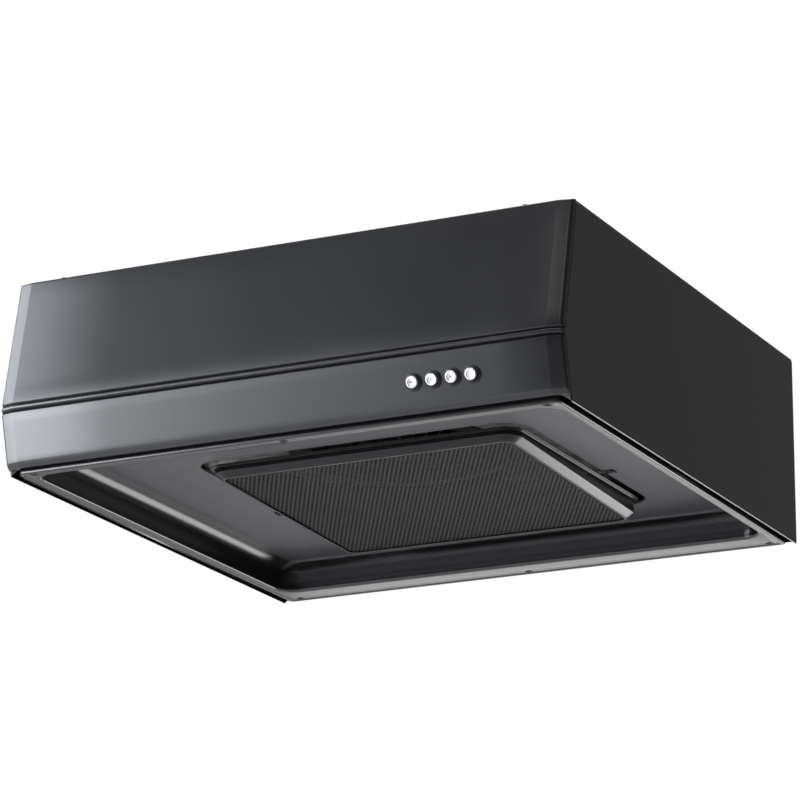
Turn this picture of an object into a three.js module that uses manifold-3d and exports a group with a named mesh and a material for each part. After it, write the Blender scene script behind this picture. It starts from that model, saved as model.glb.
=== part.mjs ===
// A shallow kitchen range hood with a lying centrifugal fan, built from its separate pieces.
// Millimetres, +Z up. The front faces -Y, +X is on the right of someone facing the hood.
// The origin is the middle of the underside: halfway across the width and the depth, on the rim.
import * as THREE from "three";
import { mergeVertices } from "three/addons/utils/BufferGeometryUtils.js";
import Module from "manifold-3d";

const wasm = await Module();
wasm.setup();

// ---- Driving dimensions ----
const WIDTH = 600;
const DEPTH = 600; // from the wall to the foremost line of the front cover
const HEIGHT = 200; // of the casing; the duct collar stands above it
const SHEET = 1; // thickness of the painted sheet
const GAP = 0.3; // left between neighbouring pieces

const SIDE = WIDTH / 2;
const WALL = DEPTH / 2; // y of the wall plane
const BULGE = -DEPTH / 2; // y of the foremost line of the front cover

// The front cover slopes back from a bend line, steeply above it and less below it.
const BEND_Z = 63;
const TOP_SETBACK = 30;
const LOWER_SLOPE = 0.25;
const COVER_BOTTOM = 5.6;
const COVER_WRAP = 9; // how far the cover's ends wrap round the sides
const SEAM = 0.8; // open joint between the cover and the panels behind it

// The drawn pan: a rim, a recess and a flat ceiling with the filter opening.
const RECESS_SIDE = SIDE - 21;
const RECESS_REAR = WALL - 42;
const RIM_FRONT = 14;
const PAN_FRONT = -279;
const PAN_EDGE = 5.2; // height of the pan's upturned front edge
const PAN_SIDE = SIDE - 10;
const PAN_REAR = WALL - 1.5;
const RECESS_DEPTH = 35;
const RECESS_RADIUS = 22;

// Filter opening in the pan's ceiling, and the steps of the filter tray inside it.
const OPENING = { x0: -180, x1: 180, y0: -131, y1: 205, r: 30 };
const FILTER_GAP = { side: 6.5, front: 12, rear: 6 };
const FILTER_FLANGE = 5;
const FILTER_SLOPE = { wide: 8, high: 5.5 }; // the tray's walls run in to its face down this slope
const FILTER_BORDER = 2;
const TRAY_FRONT_Z = 24; // the tray's face slopes down from here at the front edge
const TRAY_REAR_Z = 14;
const TAB_Y = 75;
const TAB_WIDTH = 10;
const NOTCH = 12; // how far the notches for the tabs reach beyond the opening

// Fan, scroll casing and exhaust.
const FAN = { x: -20, y: 20, r: 112, inner: 92, z0: 76, z1: 147.5 };
const BLADES = 24;
const SHAFT_R = 4;
const SCROLL = { z0: 70, z1: 160, start: 125, end: 188, tongue: 60 };
const OUTLET_Y = 156;
const COLLAR = { x: 112, y: 208, r: 75, z0: 201.9, z1: 246 };
const DAMPER_Z = 222;
const PIN_R = 2;

// Push buttons on the lower band of the front cover.
const BUTTON_NAMES = ["off", "low", "high", "light"];
const BUTTON_Z = 33.5;
const BUTTON_X = 177.3; // middle of the row
const BUTTON_PITCH = 20.1;
const BUTTON_R = 6;
const BEZEL_R = 8.6;
const HOLE_R = 8;

// Lamp above the filter's front left corner. Its light falls through the perforations.
const LAMP = { x: -202, y: -75, z: 53 };

const RIM_SCREWS = [
  ["front_left", -274, -271.5],
  ["front_middle", 0, -271.5],
  ["front_right", 274, -271.5],
  ["rear_left", -274, 289],
  ["rear_middle", 0, 289],
  ["rear_right", 274, 289],
];

// ---- Materials ----
const material = (color, roughness, metalness) =>
  new THREE.MeshStandardMaterial({ color, roughness, metalness });
const MATERIALS = {
  coverPaint: material(0x2c2d31, 0.25, 0.3),
  bodyPaint: material(0x201e1f, 0.3, 0.2),
  panPaint: material(0x2a2a2d, 0.3, 0.2),
  filterPaint: material(0x2b2b2f, 0.45, 0.3),
  zinc: material(0xa4a8ab, 0.45, 0.9),
  silver: material(0xe2e2e4, 0.3, 0.6),
  blackPlastic: material(0x131315, 0.4, 0),
  greyPlastic: material(0x6a6c70, 0.6, 0),
  whitePlastic: material(0xe9e9e4, 0.5, 0),
  board: material(0x1f5b38, 0.6, 0),
  glass: material(0xfff6e0, 0.05, 0),
  steel: material(0xb9bbbd, 0.3, 1),
  foam: material(0x2a2a2a, 0.95, 0),
  rubber: material(0x1b1b1b, 0.8, 0),
};

// ---- Solids ----
function solid(geometry) {
  const bare = geometry.clone();
  bare.deleteAttribute("normal");
  bare.deleteAttribute("uv");
  const merged = mergeVertices(bare, 1e-4);
  return new wasm.Manifold(
    new wasm.Mesh({
      numProp: 3,
      vertProperties: merged.attributes.position.array,
      triVerts: new Uint32Array(merged.index.array),
    }),
  );
}

function geometryOf(made) {
  const { vertProperties, triVerts } = made.getMesh();
  const geometry = new THREE.BufferGeometry();
  geometry.setAttribute("position", new THREE.BufferAttribute(new Float32Array(vertProperties), 3));
  geometry.setIndex(new THREE.BufferAttribute(new Uint32Array(triVerts), 1));
  geometry.computeVertexNormals();
  return geometry;
}

const union = (...pieces) => pieces.flat().reduce((sum, piece) => sum.add(piece));

function box(x0, x1, y0, y1, z0, z1) {
  const block = new THREE.BoxGeometry(x1 - x0, y1 - y0, z1 - z0);
  return solid(block.translate((x0 + x1) / 2, (y0 + y1) / 2, (z0 + z1) / 2));
}

const SHAPE_DETAIL = 6;
const flatShape = (points) => new THREE.Shape(points.map(([u, v]) => new THREE.Vector2(u, v)));

// A shape in the XY plane, raised from z0 to z1.
function slab(shape, z0, z1, curveSegments = SHAPE_DETAIL) {
  const options = { depth: z1 - z0, bevelEnabled: false, curveSegments };
  return solid(new THREE.ExtrudeGeometry(shape, options).translate(0, 0, z0));
}

// A shape drawn in (y, z), extended along X from x0 to x1.
function beam(points, x0, x1) {
  const options = { depth: x1 - x0, bevelEnabled: false };
  const toYZ = new THREE.Matrix4().makeBasis(
    new THREE.Vector3(0, 1, 0),
    new THREE.Vector3(0, 0, 1),
    new THREE.Vector3(1, 0, 0),
  );
  const geometry = new THREE.ExtrudeGeometry(flatShape(points), options);
  return solid(geometry.applyMatrix4(toYZ).translate(x0, 0, 0));
}

function roundedRectangle({ x0, x1, y0, y1, r }) {
  const shape = new THREE.Shape();
  shape.absarc(x1 - r, y1 - r, r, 0, Math.PI / 2);
  shape.absarc(x0 + r, y1 - r, r, Math.PI / 2, Math.PI);
  shape.absarc(x0 + r, y0 + r, r, Math.PI, 1.5 * Math.PI);
  shape.absarc(x1 - r, y0 + r, r, 1.5 * Math.PI, 2 * Math.PI);
  return shape;
}

// The same rectangle drawn in by a distance on every side (out, if it is negative).
const inset = ({ x0, x1, y0, y1, r }, by) => ({
  x0: x0 + by,
  x1: x1 - by,
  y0: y0 + by,
  y1: y1 - by,
  r: Math.max(r - by, 1),
});

// A round solid about the Z axis from a closed loop of [radius, z], anticlockwise in that plane.
function turned(loop, segments = 24) {
  const points = [...loop, loop[0]].map(([r, z]) => new THREE.Vector2(r, z));
  return solid(new THREE.LatheGeometry(points, segments).rotateX(Math.PI / 2));
}

function cylinder(r, z0, z1, segments = 24) {
  const geometry = new THREE.CylinderGeometry(r, r, z1 - z0, segments);
  return solid(geometry.rotateX(Math.PI / 2).translate(0, 0, (z0 + z1) / 2));
}

const tube = (outer, inner, z0, z1, segments = 32) =>
  cylinder(outer, z0, z1, segments).subtract(cylinder(inner, z0 - 1, z1 + 1, segments));

// Turns a solid built about +Z so that it points along +X, or along +Y into the hood.
const alongX = (piece) => piece.rotate([0, 90, 0]);
const alongY = (piece) => piece.rotate([-90, 0, 0]);

// Skins a row of closed sections with the same number of [x, y, z] corners, from left to right.
// Each section runs down its front and back up behind, so its ends are closed rung by rung.
function loft(sections) {
  const count = sections[0].length;
  const last = (sections.length - 1) * count;
  const index = [];
  const quad = (a, b, c, d) => index.push(a, b, c, a, c, d);
  for (let near = 0; near < last; near += count)
    for (let i = 0; i < count; i++) {
      const j = (i + 1) % count;
      quad(near + i, near + j, near + count + j, near + count + i);
    }
  for (let i = 0; i + 1 < count / 2; i++) {
    const behind = count - 1 - i;
    quad(last + i, last + i + 1, last + behind - 1, last + behind);
    quad(behind, behind - 1, i + 1, i);
  }
  const geometry = new THREE.BufferGeometry();
  geometry.setAttribute("position", new THREE.Float32BufferAttribute(sections.flat(2), 3));
  geometry.setIndex(index);
  return solid(geometry);
}

// ---- Assembly ----
const hood = new THREE.Group();
hood.name = "range_hood";

function add(name, made, paint, parent = hood) {
  const mesh = new THREE.Mesh(geometryOf(made), paint);
  mesh.name = name;
  parent.add(mesh);
  return mesh;
}

// y of the cover's outer face at height z, away from its rounded lower edge.
function frontY(z) {
  if (z < BEND_Z) return BULGE + (BEND_Z - z) * LOWER_SLOPE;
  return BULGE + ((z - BEND_Z) / (HEIGHT - BEND_Z)) * TOP_SETBACK;
}

// ---- Front cover: a pressed sheet with two grooves, faceted ends and rounded edges ----
const GROOVE_Z = [59.8, 66.2];
const GROOVE_HALF = 2.8;
const GROOVE_DEEP = 1.2;
const LOWER_ROUND = 6; // height of the rounded lower edge
const LAP = 0.5; // least depth of the cover where its rounded corners meet

function coverProfile() {
  const profile = [
    [frontY(COVER_BOTTOM) + LOWER_ROUND, COVER_BOTTOM],
    [frontY(COVER_BOTTOM) + 0.3 * LOWER_ROUND, COVER_BOTTOM + 0.3 * LOWER_ROUND],
    [frontY(COVER_BOTTOM + LOWER_ROUND), COVER_BOTTOM + LOWER_ROUND],
  ];
  for (const z of GROOVE_Z) {
    profile.push([frontY(z - GROOVE_HALF), z - GROOVE_HALF]);
    profile.push([frontY(z) + GROOVE_DEEP, z]);
    profile.push([frontY(z + GROOVE_HALF), z + GROOVE_HALF]);
    if (z < BEND_Z) profile.push([BULGE, BEND_Z]);
  }
  profile.push([frontY(HEIGHT), HEIGHT]);
  return profile;
}

// Half width against how far the face has turned back there: a flat, a facet, a rounded end.
const COVER_PLAN = [
  [SIDE - 15, 0],
  [SIDE - 3.5, 2.9],
  [SIDE - 1, 4.7],
  [SIDE, 7],
];

// The cover's bulk between a face pushed back by `skin` and a back pushed back by `wrap`.
function coverBlock(skin, wrap, bottom, top) {
  const face = coverProfile().map(([y, z]) => [y, Math.min(Math.max(z, bottom), top)]);
  const section = (x, back) => [
    ...face.map(([y, z]) => [x, Math.min(y + back + skin, frontY(z) + wrap - LAP), z]).reverse(),
    ...face.map(([, z]) => [x, frontY(z) + wrap, z]),
  ];
  const right = COVER_PLAN.map(([half, back]) => section(half - skin, back));
  const left = COVER_PLAN.map(([half, back]) => section(skin - half, back)).reverse();
  return loft([...left, ...right]);
}

const buttonX = (i) => BUTTON_X + (i - (BUTTON_NAMES.length - 1) / 2) * BUTTON_PITCH;

// Everything on the lower band sits in a group tilted like the band, with its origin on the face.
const band = new THREE.Group();
band.position.set(0, frontY(BUTTON_Z), BUTTON_Z);
band.rotation.x = Math.atan(LOWER_SLOPE);
hood.add(band);

function frontCover() {
  const shell = coverBlock(0, COVER_WRAP, COVER_BOTTOM, HEIGHT);
  const hollow = coverBlock(SHEET, 3 * COVER_WRAP, COVER_BOTTOM + SHEET, HEIGHT - SHEET);
  const tilt = THREE.MathUtils.radToDeg(band.rotation.x);
  const hole = alongY(cylinder(HOLE_R, -8, 8)).rotate([tilt, 0, 0]);
  const holes = BUTTON_NAMES.map((_, i) => hole.translate([buttonX(i), frontY(BUTTON_Z), BUTTON_Z]));
  return shell.subtract(hollow).subtract(union(holes)).subtract(coverScrewHoles(HEIGHT));
}

// ---- Casing panels ----
const HEM_Z = 0.3; // lower edge of the side panels
const SIDE_FLANGE_Z = 9; // their lower flange is folded in above the pan's rim
const PANEL_BOTTOM = 2.9; // lower edge of the back panel
const PANEL_TOP = HEIGHT - SHEET - 0.2;
const RETURN = 14; // width of the folded flanges
const TOP_FRONT = BULGE + TOP_SETBACK + COVER_WRAP + SEAM;

function sidePanel(side) {
  const wrap = COVER_WRAP + SEAM;
  const outline = [
    [frontY(HEM_Z) + wrap, HEM_Z],
    [WALL, HEM_Z],
    [WALL, PANEL_TOP],
    [frontY(PANEL_TOP) + wrap, PANEL_TOP],
    [frontY(BEND_Z) + wrap, BEND_Z],
  ];
  const front = TOP_FRONT + 1;
  const rear = WALL - SHEET - GAP;
  const sheet = beam(outline, SIDE - SHEET, SIDE);
  const lower = box(SIDE - RETURN, SIDE - SHEET / 2, front, rear, SIDE_FLANGE_Z, SIDE_FLANGE_Z + SHEET);
  const upper = box(SIDE - RETURN, SIDE - SHEET / 2, front, rear, PANEL_TOP - SHEET, PANEL_TOP);
  const right = union(sheet, lower, upper);
  return side > 0 ? right : right.mirror([1, 0, 0]);
}
add("side_panel_left", sidePanel(-1), MATERIALS.bodyPaint);
add("side_panel_right", sidePanel(1), MATERIALS.bodyPaint);

// Clearance for the rim screws through a flange that lies at height z.
const CLEARANCE_R = 2.2;
const rimScrewHoles = (z) =>
  union(RIM_SCREWS.map(([, x, y]) => cylinder(CLEARANCE_R, z - 1, z + SHEET + 1, 16).translate([x, y, 0])));

// Keyhole slots hang the hood on two wall screws.
const KEYHOLE = { x: 200, z: 158, head: 6, slot: 3, rise: 16 };
function backPanel() {
  const half = SIDE - SHEET - GAP;
  const sheet = box(-half, half, WALL - SHEET, WALL, PANEL_BOTTOM, PANEL_TOP);
  const keyholes = [-1, 1].map((side) => {
    const head = alongY(cylinder(KEYHOLE.head, -4, 4)).translate([0, 0, KEYHOLE.z]);
    const top = KEYHOLE.z + KEYHOLE.rise;
    const slot = box(-KEYHOLE.slot, KEYHOLE.slot, -4, 4, KEYHOLE.z, top);
    const end = alongY(cylinder(KEYHOLE.slot, -4, 4)).translate([0, 0, top]);
    return union(head, slot, end).translate([side * KEYHOLE.x, WALL, 0]);
  });
  const inner = SIDE - RETURN - 1;
  const foot = box(-inner, inner, WALL - RETURN, WALL - SHEET / 2, PANEL_BOTTOM, PANEL_BOTTOM + SHEET);
  return union(sheet, foot).subtract(union(keyholes)).subtract(rimScrewHoles(PANEL_BOTTOM));
}
add("back_panel", backPanel(), MATERIALS.bodyPaint);

const CORD_EXIT = { x: -225, y: 225, r: 8 };
function topPanel() {
  const sheet = box(-SIDE, SIDE, TOP_FRONT, WALL, HEIGHT - SHEET, HEIGHT);
  const outlet = cylinder(COLLAR.r + 1, HEIGHT - 5, HEIGHT + 5, 36).translate([COLLAR.x, COLLAR.y, 0]);
  const exit = cylinder(CORD_EXIT.r, HEIGHT - 5, HEIGHT + 5).translate([CORD_EXIT.x, CORD_EXIT.y, 0]);
  return sheet.subtract(outlet).subtract(exit);
}
add("top_panel", topPanel(), MATERIALS.bodyPaint);

// The two screws that hold the cover go down through its top edge into the upper rail.
const COVER_SCREWS = [
  ["left", -250],
  ["right", 250],
];
const COVER_SCREW_Y = frontY(HEIGHT) + COVER_WRAP / 2;
const COVER_HOLE_R = 1.9;
const coverScrewHoles = (z) =>
  union(
    COVER_SCREWS.map(([, x]) => cylinder(COVER_HOLE_R, z - 4, z + 4, 12).translate([x, COVER_SCREW_Y, 0])),
  );

const RAIL_HALF = SIDE - RETURN - 1.5;
add("front_cover", frontCover(), MATERIALS.coverPaint);

const UPPER_RAIL = { web: 28, flange: 18 };
function upperRail() {
  const y = TOP_FRONT + 4;
  const top = PANEL_TOP - GAP;
  const web = box(-RAIL_HALF, RAIL_HALF, y, y + SHEET, top - UPPER_RAIL.web, top);
  const front = TOP_FRONT - COVER_WRAP + 1;
  const flange = box(-RAIL_HALF, RAIL_HALF, front, y + UPPER_RAIL.flange, top - SHEET, top);
  return union(web, flange).subtract(coverScrewHoles(top));
}
add("front_rail_upper", upperRail(), MATERIALS.zinc);

const LOWER_RAIL = { z0: 4, z1: 50 };
function lowerRail() {
  const { z0, z1 } = LOWER_RAIL;
  const y = PAN_FRONT + RIM_FRONT - SHEET - 3;
  const web = box(-RAIL_HALF, RAIL_HALF, y, y + SHEET, z0, z1);
  const flange = box(-RAIL_HALF, RAIL_HALF, PAN_FRONT + 2, y + SHEET / 2, z0, z0 + SHEET);
  return union(web, flange).subtract(rimScrewHoles(z0));
}
add("front_rail_lower", lowerRail(), MATERIALS.zinc);

// ---- Bottom pan ----
const RECESS = {
  x0: -RECESS_SIDE,
  x1: RECESS_SIDE,
  y0: PAN_FRONT + RIM_FRONT,
  y1: RECESS_REAR,
  r: RECESS_RADIUS,
};
const CEILING = RECESS_DEPTH;
const CUP = { r: 4.6, wall: 1, high: 2.6, floor: 1.7 }; // dimple that takes a rim screw's head
const SCREW_HOLE_R = 2.1;
const LIP = 4; // turned-up edge round the filter opening

function openingShape(grow) {
  const low = CEILING - 1;
  const high = CEILING + LIP + 5;
  const half = TAB_WIDTH / 2 + 2 + grow;
  const left = OPENING.x0 - NOTCH - grow;
  const right = OPENING.x1 + NOTCH + grow;
  const hole = slab(roundedRectangle(inset(OPENING, -grow)), low, high);
  return hole.add(box(left, right, TAB_Y - half, TAB_Y + half, low, high));
}

const dimple = (r, z0, z1) =>
  union(RIM_SCREWS.map(([, x, y]) => cylinder(r, z0, z1, 12).translate([x, y, 0])));

function bottomPan() {
  const rim = box(-PAN_SIDE, PAN_SIDE, PAN_FRONT, PAN_REAR, 0, SHEET);
  const edge = box(-PAN_SIDE, PAN_SIDE, PAN_FRONT, PAN_FRONT + SHEET, 0, PAN_EDGE);
  const sides = [-1, 1].map((side) => {
    const x = side * (PAN_SIDE - SHEET / 2);
    return box(x - SHEET / 2, x + SHEET / 2, PAN_FRONT, PAN_REAR, 0, PAN_EDGE);
  });
  const bowl = slab(roundedRectangle(inset(RECESS, -SHEET)), 0, CEILING + SHEET);
  const hollow = slab(roundedRectangle(RECESS), -1, CEILING);
  const lipBand = box(-SIDE, SIDE, -WALL, WALL, CEILING + SHEET / 2, CEILING + LIP);
  const lip = openingShape(SHEET).intersect(lipBand);
  return union(rim, edge, sides, bowl, dimple(CUP.r + CUP.wall, 0, CUP.high), lip)
    .subtract(hollow)
    .subtract(dimple(CUP.r, -1, CUP.floor))
    .subtract(dimple(SCREW_HOLE_R, 0, LIP))
    .subtract(openingShape(0));
}
add("bottom_pan", bottomPan(), MATERIALS.panPaint);

// ---- Screws ----
function panHeadScrew(headR, headHigh, shankR, length) {
  const head = turned([
    [0, 0],
    [headR * 0.8, 0],
    [headR, headHigh * 0.5],
    [headR, headHigh],
    [shankR, headHigh],
    [shankR, length],
    [0, length],
  ], 12);
  return head.subtract(box(-headR * 0.6, headR * 0.6, -0.5, 0.5, -1, headHigh * 0.5));
}
for (const [place, x, y] of RIM_SCREWS)
  add(`pan_screw_${place}`, panHeadScrew(4.2, 1.3, 1.8, 12).translate([x, y, 0.15]), MATERIALS.steel);
for (const [place, x] of COVER_SCREWS) {
  const screw = panHeadScrew(3.4, 1.6, 1.6, 10).rotate([180, 0, 0]);
  const place3d = [x, COVER_SCREW_Y, HEIGHT + GAP + 1.6];
  add(`cover_screw_${place}`, screw.translate(place3d), MATERIALS.steel);
}

// ---- Filter: a tray whose perforated face slopes down towards the wall ----
const FRAME_RIM = {
  x0: OPENING.x0 + FILTER_GAP.side,
  x1: OPENING.x1 - FILTER_GAP.side,
  y0: OPENING.y0 + FILTER_GAP.front,
  y1: OPENING.y1 - FILTER_GAP.rear,
  r: OPENING.r - FILTER_GAP.side,
};
const FRAME_STEP = inset(FRAME_RIM, FILTER_FLANGE);
const FRAME_WINDOW = inset(FRAME_STEP, FILTER_SLOPE.wide + FILTER_BORDER);
const FRAME_SHEET = 0.8;
const FLANGE_TOP = CEILING + FRAME_SHEET / 2;
const TRAY_FALL = (TRAY_REAR_Z - TRAY_FRONT_Z) / (FRAME_STEP.y1 - FRAME_STEP.y0);
const trayZ = (y) => TRAY_FRONT_Z + TRAY_FALL * (y - FRAME_STEP.y0);

// What lies between two surfaces parallel to the tray's face, at these heights above it.
function aboveTray(low, high) {
  const { x0, x1, y0, y1 } = FRAME_STEP;
  const outline = [
    [y0, trayZ(y0) + low],
    [y1, trayZ(y1) + low],
    [y1, trayZ(y1) + high],
    [y0, trayZ(y0) + high],
  ];
  return beam(outline, x0, x1);
}

// A tall block with a rounded rectangular outline that narrows down to the tray's face, raised by lift.
function trayBlock(rectangle, lift) {
  const { wide, high } = FILTER_SLOPE;
  const block = new THREE.ExtrudeGeometry(roundedRectangle(rectangle), {
    depth: 2 * CEILING,
    bevelThickness: high,
    bevelSize: wide,
    bevelOffset: -wide,
    bevelSegments: 1,
    curveSegments: SHAPE_DETAIL,
  });
  const lean = new THREE.Matrix4().makeShear(0, 0, 0, TRAY_FALL, 0, 0);
  return solid(block.applyMatrix4(lean).translate(0, 0, trayZ(0) + high + lift));
}

function filterFrame() {
  const flange = slab(roundedRectangle(FRAME_RIM), FLANGE_TOP - FRAME_SHEET, FLANGE_TOP);
  const room = box(-SIDE, SIDE, -WALL, WALL, 0, CEILING);
  return union(flange, trayBlock(FRAME_STEP, 0).intersect(room))
    .subtract(trayBlock(inset(FRAME_STEP, FRAME_SHEET), FRAME_SHEET))
    .subtract(slab(roundedRectangle(FRAME_WINDOW), 0, CEILING));
}
add("filter_frame", filterFrame(), MATERIALS.filterPaint);

const MESH_LAP = 1; // how far the perforated sheet lies over the frame's border
const MESH_SHEET = 0.5;
function filterMesh() {
  const low = FRAME_SHEET + GAP;
  const sheet = slab(roundedRectangle(inset(FRAME_WINDOW, -MESH_LAP)), 0, CEILING);
  return sheet.intersect(aboveTray(low, low + MESH_SHEET));
}
add("filter_mesh", filterMesh(), MATERIALS.filterPaint);

// A bent strip with a foot on the tray's flange and a finger lip in the notch.
const FOOT_Z = FLANGE_TOP + GAP;
const FOOT_LAP = 8;
const FINGER_LIP = 1.5; // how far the lip hangs below the pan's ceiling
function fingerTab(lip, end) {
  const half = TAB_WIDTH / 2;
  const foot = box(FRAME_RIM.x1 - FOOT_LAP, end, -half, half, FOOT_Z, FOOT_Z + SHEET);
  return foot.add(box(lip - SHEET, lip, -half, half, CEILING - FINGER_LIP, FOOT_Z + SHEET / 2));
}

// The left tab hooks over the pan's lip and the filter swings down about it.
const HOOK_X = OPENING.x1 + NOTCH - 2; // distance of its upright from the middle
const TONGUE_Z = CEILING + LIP + GAP;
const TONGUE_REACH = 6;
function filterHook() {
  const half = TAB_WIDTH / 4;
  return fingerTab(HOOK_X, HOOK_X)
    .add(box(HOOK_X - SHEET, HOOK_X, -half, half, FOOT_Z, TONGUE_Z + SHEET))
    .add(box(HOOK_X - SHEET, HOOK_X + TONGUE_REACH, -half, half, TONGUE_Z, TONGUE_Z + SHEET))
    .mirror([1, 0, 0])
    .translate([0, TAB_Y, 0]);
}
add("filter_hook_left", filterHook(), MATERIALS.filterPaint);

const LATCH_END = OPENING.x1 + NOTCH - 0.5;
const LATCH_LIP = LATCH_END - 2;
add("filter_latch", fingerTab(LATCH_LIP, LATCH_END).translate([0, TAB_Y, 0]), MATERIALS.filterPaint);

// ---- Scroll casing: a spiral wall round the fan with a straight outlet towards the wall ----
function scrollOutline(skin) {
  const { start, end, tongue } = SCROLL;
  const steps = 24;
  const points = [
    [FAN.x + start * Math.cos(THREE.MathUtils.degToRad(tongue)) + skin, OUTLET_Y + 2 * skin],
    [FAN.x + end - skin, OUTLET_Y + 2 * skin],
  ];
  for (let i = 0; i <= steps; i++) {
    const share = i / steps;
    const angle = THREE.MathUtils.degToRad(360 - share * (360 - tongue));
    const r = end + (start - end) * share - skin;
    points.push([FAN.x + r * Math.cos(angle), FAN.y + r * Math.sin(angle)]);
  }
  points.push([points[0][0], points.at(-1)[1]]);
  return flatShape(points.reverse());
}

const HANGERS = [
  [-140, -40],
  [-140, 80],
  [60, -90],
  [120, 60],
];
function scrollCasing() {
  const { z0, z1 } = SCROLL;
  const shell = slab(scrollOutline(0), z0, z1);
  const inside = slab(scrollOutline(SHEET), z0 - 1, z1 - SHEET);
  const legs = HANGERS.map(([x, y]) => box(x - 9, x + 9, y - 0.6, y + 0.6, z1 - 0.5, PANEL_TOP - 0.5));
  const bore = cylinder(9, z1 - 5, z1 + 5).translate([FAN.x, FAN.y, 0]);
  return union(shell.subtract(inside), legs).subtract(bore);
}
add("scroll_casing", scrollCasing(), MATERIALS.zinc);

const INLET_R = 96;
const INLET_PLATE_Z = SCROLL.z0 - SHEET - GAP;
function inletPlate() {
  const plate = slab(scrollOutline(0), INLET_PLATE_Z, INLET_PLATE_Z + SHEET);
  const hole = cylinder(INLET_R + 1, 0, SCROLL.z1, 32).translate([FAN.x, FAN.y, 0]);
  return plate.subtract(hole);
}
add("scroll_inlet_plate", inletPlate(), MATERIALS.zinc);

// A flared ring that guides air into the wheel; its collar reaches through the inlet plate.
function bellMouth() {
  const z = INLET_PLATE_Z - GAP;
  const ring = turned([
    [INLET_R + 18, z - 1.2],
    [INLET_R + 18, z],
    [INLET_R, z],
    [INLET_R - 3, z + 2],
    [INLET_R - 4.5, z + 6],
    [INLET_R - 5.7, z + 6],
    [INLET_R - 4.4, z + 1.4],
    [INLET_R - 0.5, z - 1.2],
  ], 32);
  return ring.translate([FAN.x, FAN.y, 0]);
}
add("bell_mouth", bellMouth(), MATERIALS.blackPlastic);

// ---- Fan ----
const PLATE_Z = FAN.z1 - 1.5;
function fanWheel() {
  const back = cylinder(FAN.r, PLATE_Z, FAN.z1, 36);
  const hub = cylinder(13, PLATE_Z - 18, FAN.z1, 20);
  const ring = tube(FAN.r, FAN.r - 9, FAN.z0, FAN.z0 + 1.5, 36);
  const blades = Array.from({ length: BLADES }, (_, i) =>
    box(-0.5, 0.5, -9.5, 9.5, FAN.z0 + 0.5, PLATE_Z + 0.5)
      .rotate([0, 0, -62])
      .translate([(FAN.r + FAN.inner) / 2, 0, 0])
      .rotate([0, 0, (i * 360) / BLADES]),
  );
  const bore = cylinder(SHAFT_R + GAP, 0, HEIGHT, 20);
  return union(back, hub, ring, blades).subtract(bore).translate([FAN.x, FAN.y, 0]);
}
add("fan_wheel", fanWheel(), MATERIALS.zinc);

const NUT_TOP = PLATE_Z - 18 - GAP;
function fanNut() {
  const knob = cylinder(11, NUT_TOP - 12, NUT_TOP, 18);
  const wings = box(-17, 17, -2.2, 2.2, NUT_TOP - 12, NUT_TOP - 2);
  const bore = cylinder(SHAFT_R + GAP, 0, HEIGHT, 20);
  return union(knob, wings).subtract(bore).translate([FAN.x, FAN.y, 0]);
}
add("fan_nut", fanNut(), MATERIALS.blackPlastic);

const MOTOR = { r: 50, z0: SCROLL.z1 + 2.4, z1: 194 };
const shaft = cylinder(SHAFT_R, NUT_TOP - 16, MOTOR.z1 - 10, 20).translate([FAN.x, FAN.y, 0]);
add("motor_shaft", shaft, MATERIALS.steel);

function motorPlate() {
  const plate = tube(66, 10, SCROLL.z1 + GAP, SCROLL.z1 + GAP + 1.6, 32);
  return plate.translate([FAN.x, FAN.y, 0]);
}
add("motor_plate", motorPlate(), MATERIALS.zinc);

function motorBody() {
  const { r, z0, z1 } = MOTOR;
  const bore = SHAFT_R + GAP;
  const can = turned([
    [bore, z0],
    [r - 4, z0],
    [r, z0 + 4],
    [r, z0 + 12],
    [r + 4, z0 + 12],
    [r + 4, z0 + 14],
    [r, z0 + 14],
    [r, z1 - 6],
    [r - 8, z1],
    [0, z1],
    [0, z1 - 9],
    [bore, z1 - 9],
  ], 24);
  return can.translate([FAN.x, FAN.y, 0]);
}
add("motor_body", motorBody(), MATERIALS.steel);

// ---- Exhaust ----
function exhaustBox() {
  const x0 = COLLAR.x - 82;
  const x1 = COLLAR.x + 82;
  const y0 = OUTLET_Y + 1;
  const y1 = WALL - SHEET - GAP;
  const top = HEIGHT - SHEET - GAP;
  const shell = box(x0, x1, y0, y1, INLET_PLATE_Z, top);
  const inside = box(x0 + 1, x1 - 1, y0 + 1, y1 - 1, INLET_PLATE_Z + 1, top + 1);
  const left = FAN.x + SCROLL.start * Math.cos(THREE.MathUtils.degToRad(SCROLL.tongue));
  const mouth = box(left + 1, FAN.x + SCROLL.end - 1, y0 - 1, y0 + 2, SCROLL.z0, SCROLL.z1 - 1);
  return shell.subtract(inside).subtract(mouth);
}
add("exhaust_box", exhaustBox(), MATERIALS.zinc);

const gasket = tube(COLLAR.r + 13, COLLAR.r + 2, HEIGHT + 0.2, COLLAR.z0 - 0.2, 36);
add("collar_gasket", gasket.translate([COLLAR.x, COLLAR.y, 0]), MATERIALS.foam);

function ductCollar() {
  const { x, y, r, z0, z1 } = COLLAR;
  const ring = turned([
    [r - 1, z0],
    [r + 13, z0],
    [r + 13, z0 + 1],
    [r, z0 + 1],
    [r, z1 - 12],
    [r + 1.4, z1 - 10.5],
    [r + 1.4, z1 - 9.5],
    [r, z1 - 8],
    [r, z1],
    [r - 1, z1],
  ], 32);
  const pinHole = alongX(cylinder(PIN_R + 0.2, -r - 20, r + 20, 16)).translate([0, 0, DAMPER_Z]);
  return ring.subtract(pinHole).translate([x, y, 0]);
}
add("duct_collar", ductCollar(), MATERIALS.zinc);

const pin = alongX(cylinder(PIN_R, -COLLAR.r - 1, COLLAR.r + 1, 16));
add("damper_pin", pin.translate([COLLAR.x, COLLAR.y, DAMPER_Z]), MATERIALS.steel);

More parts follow.
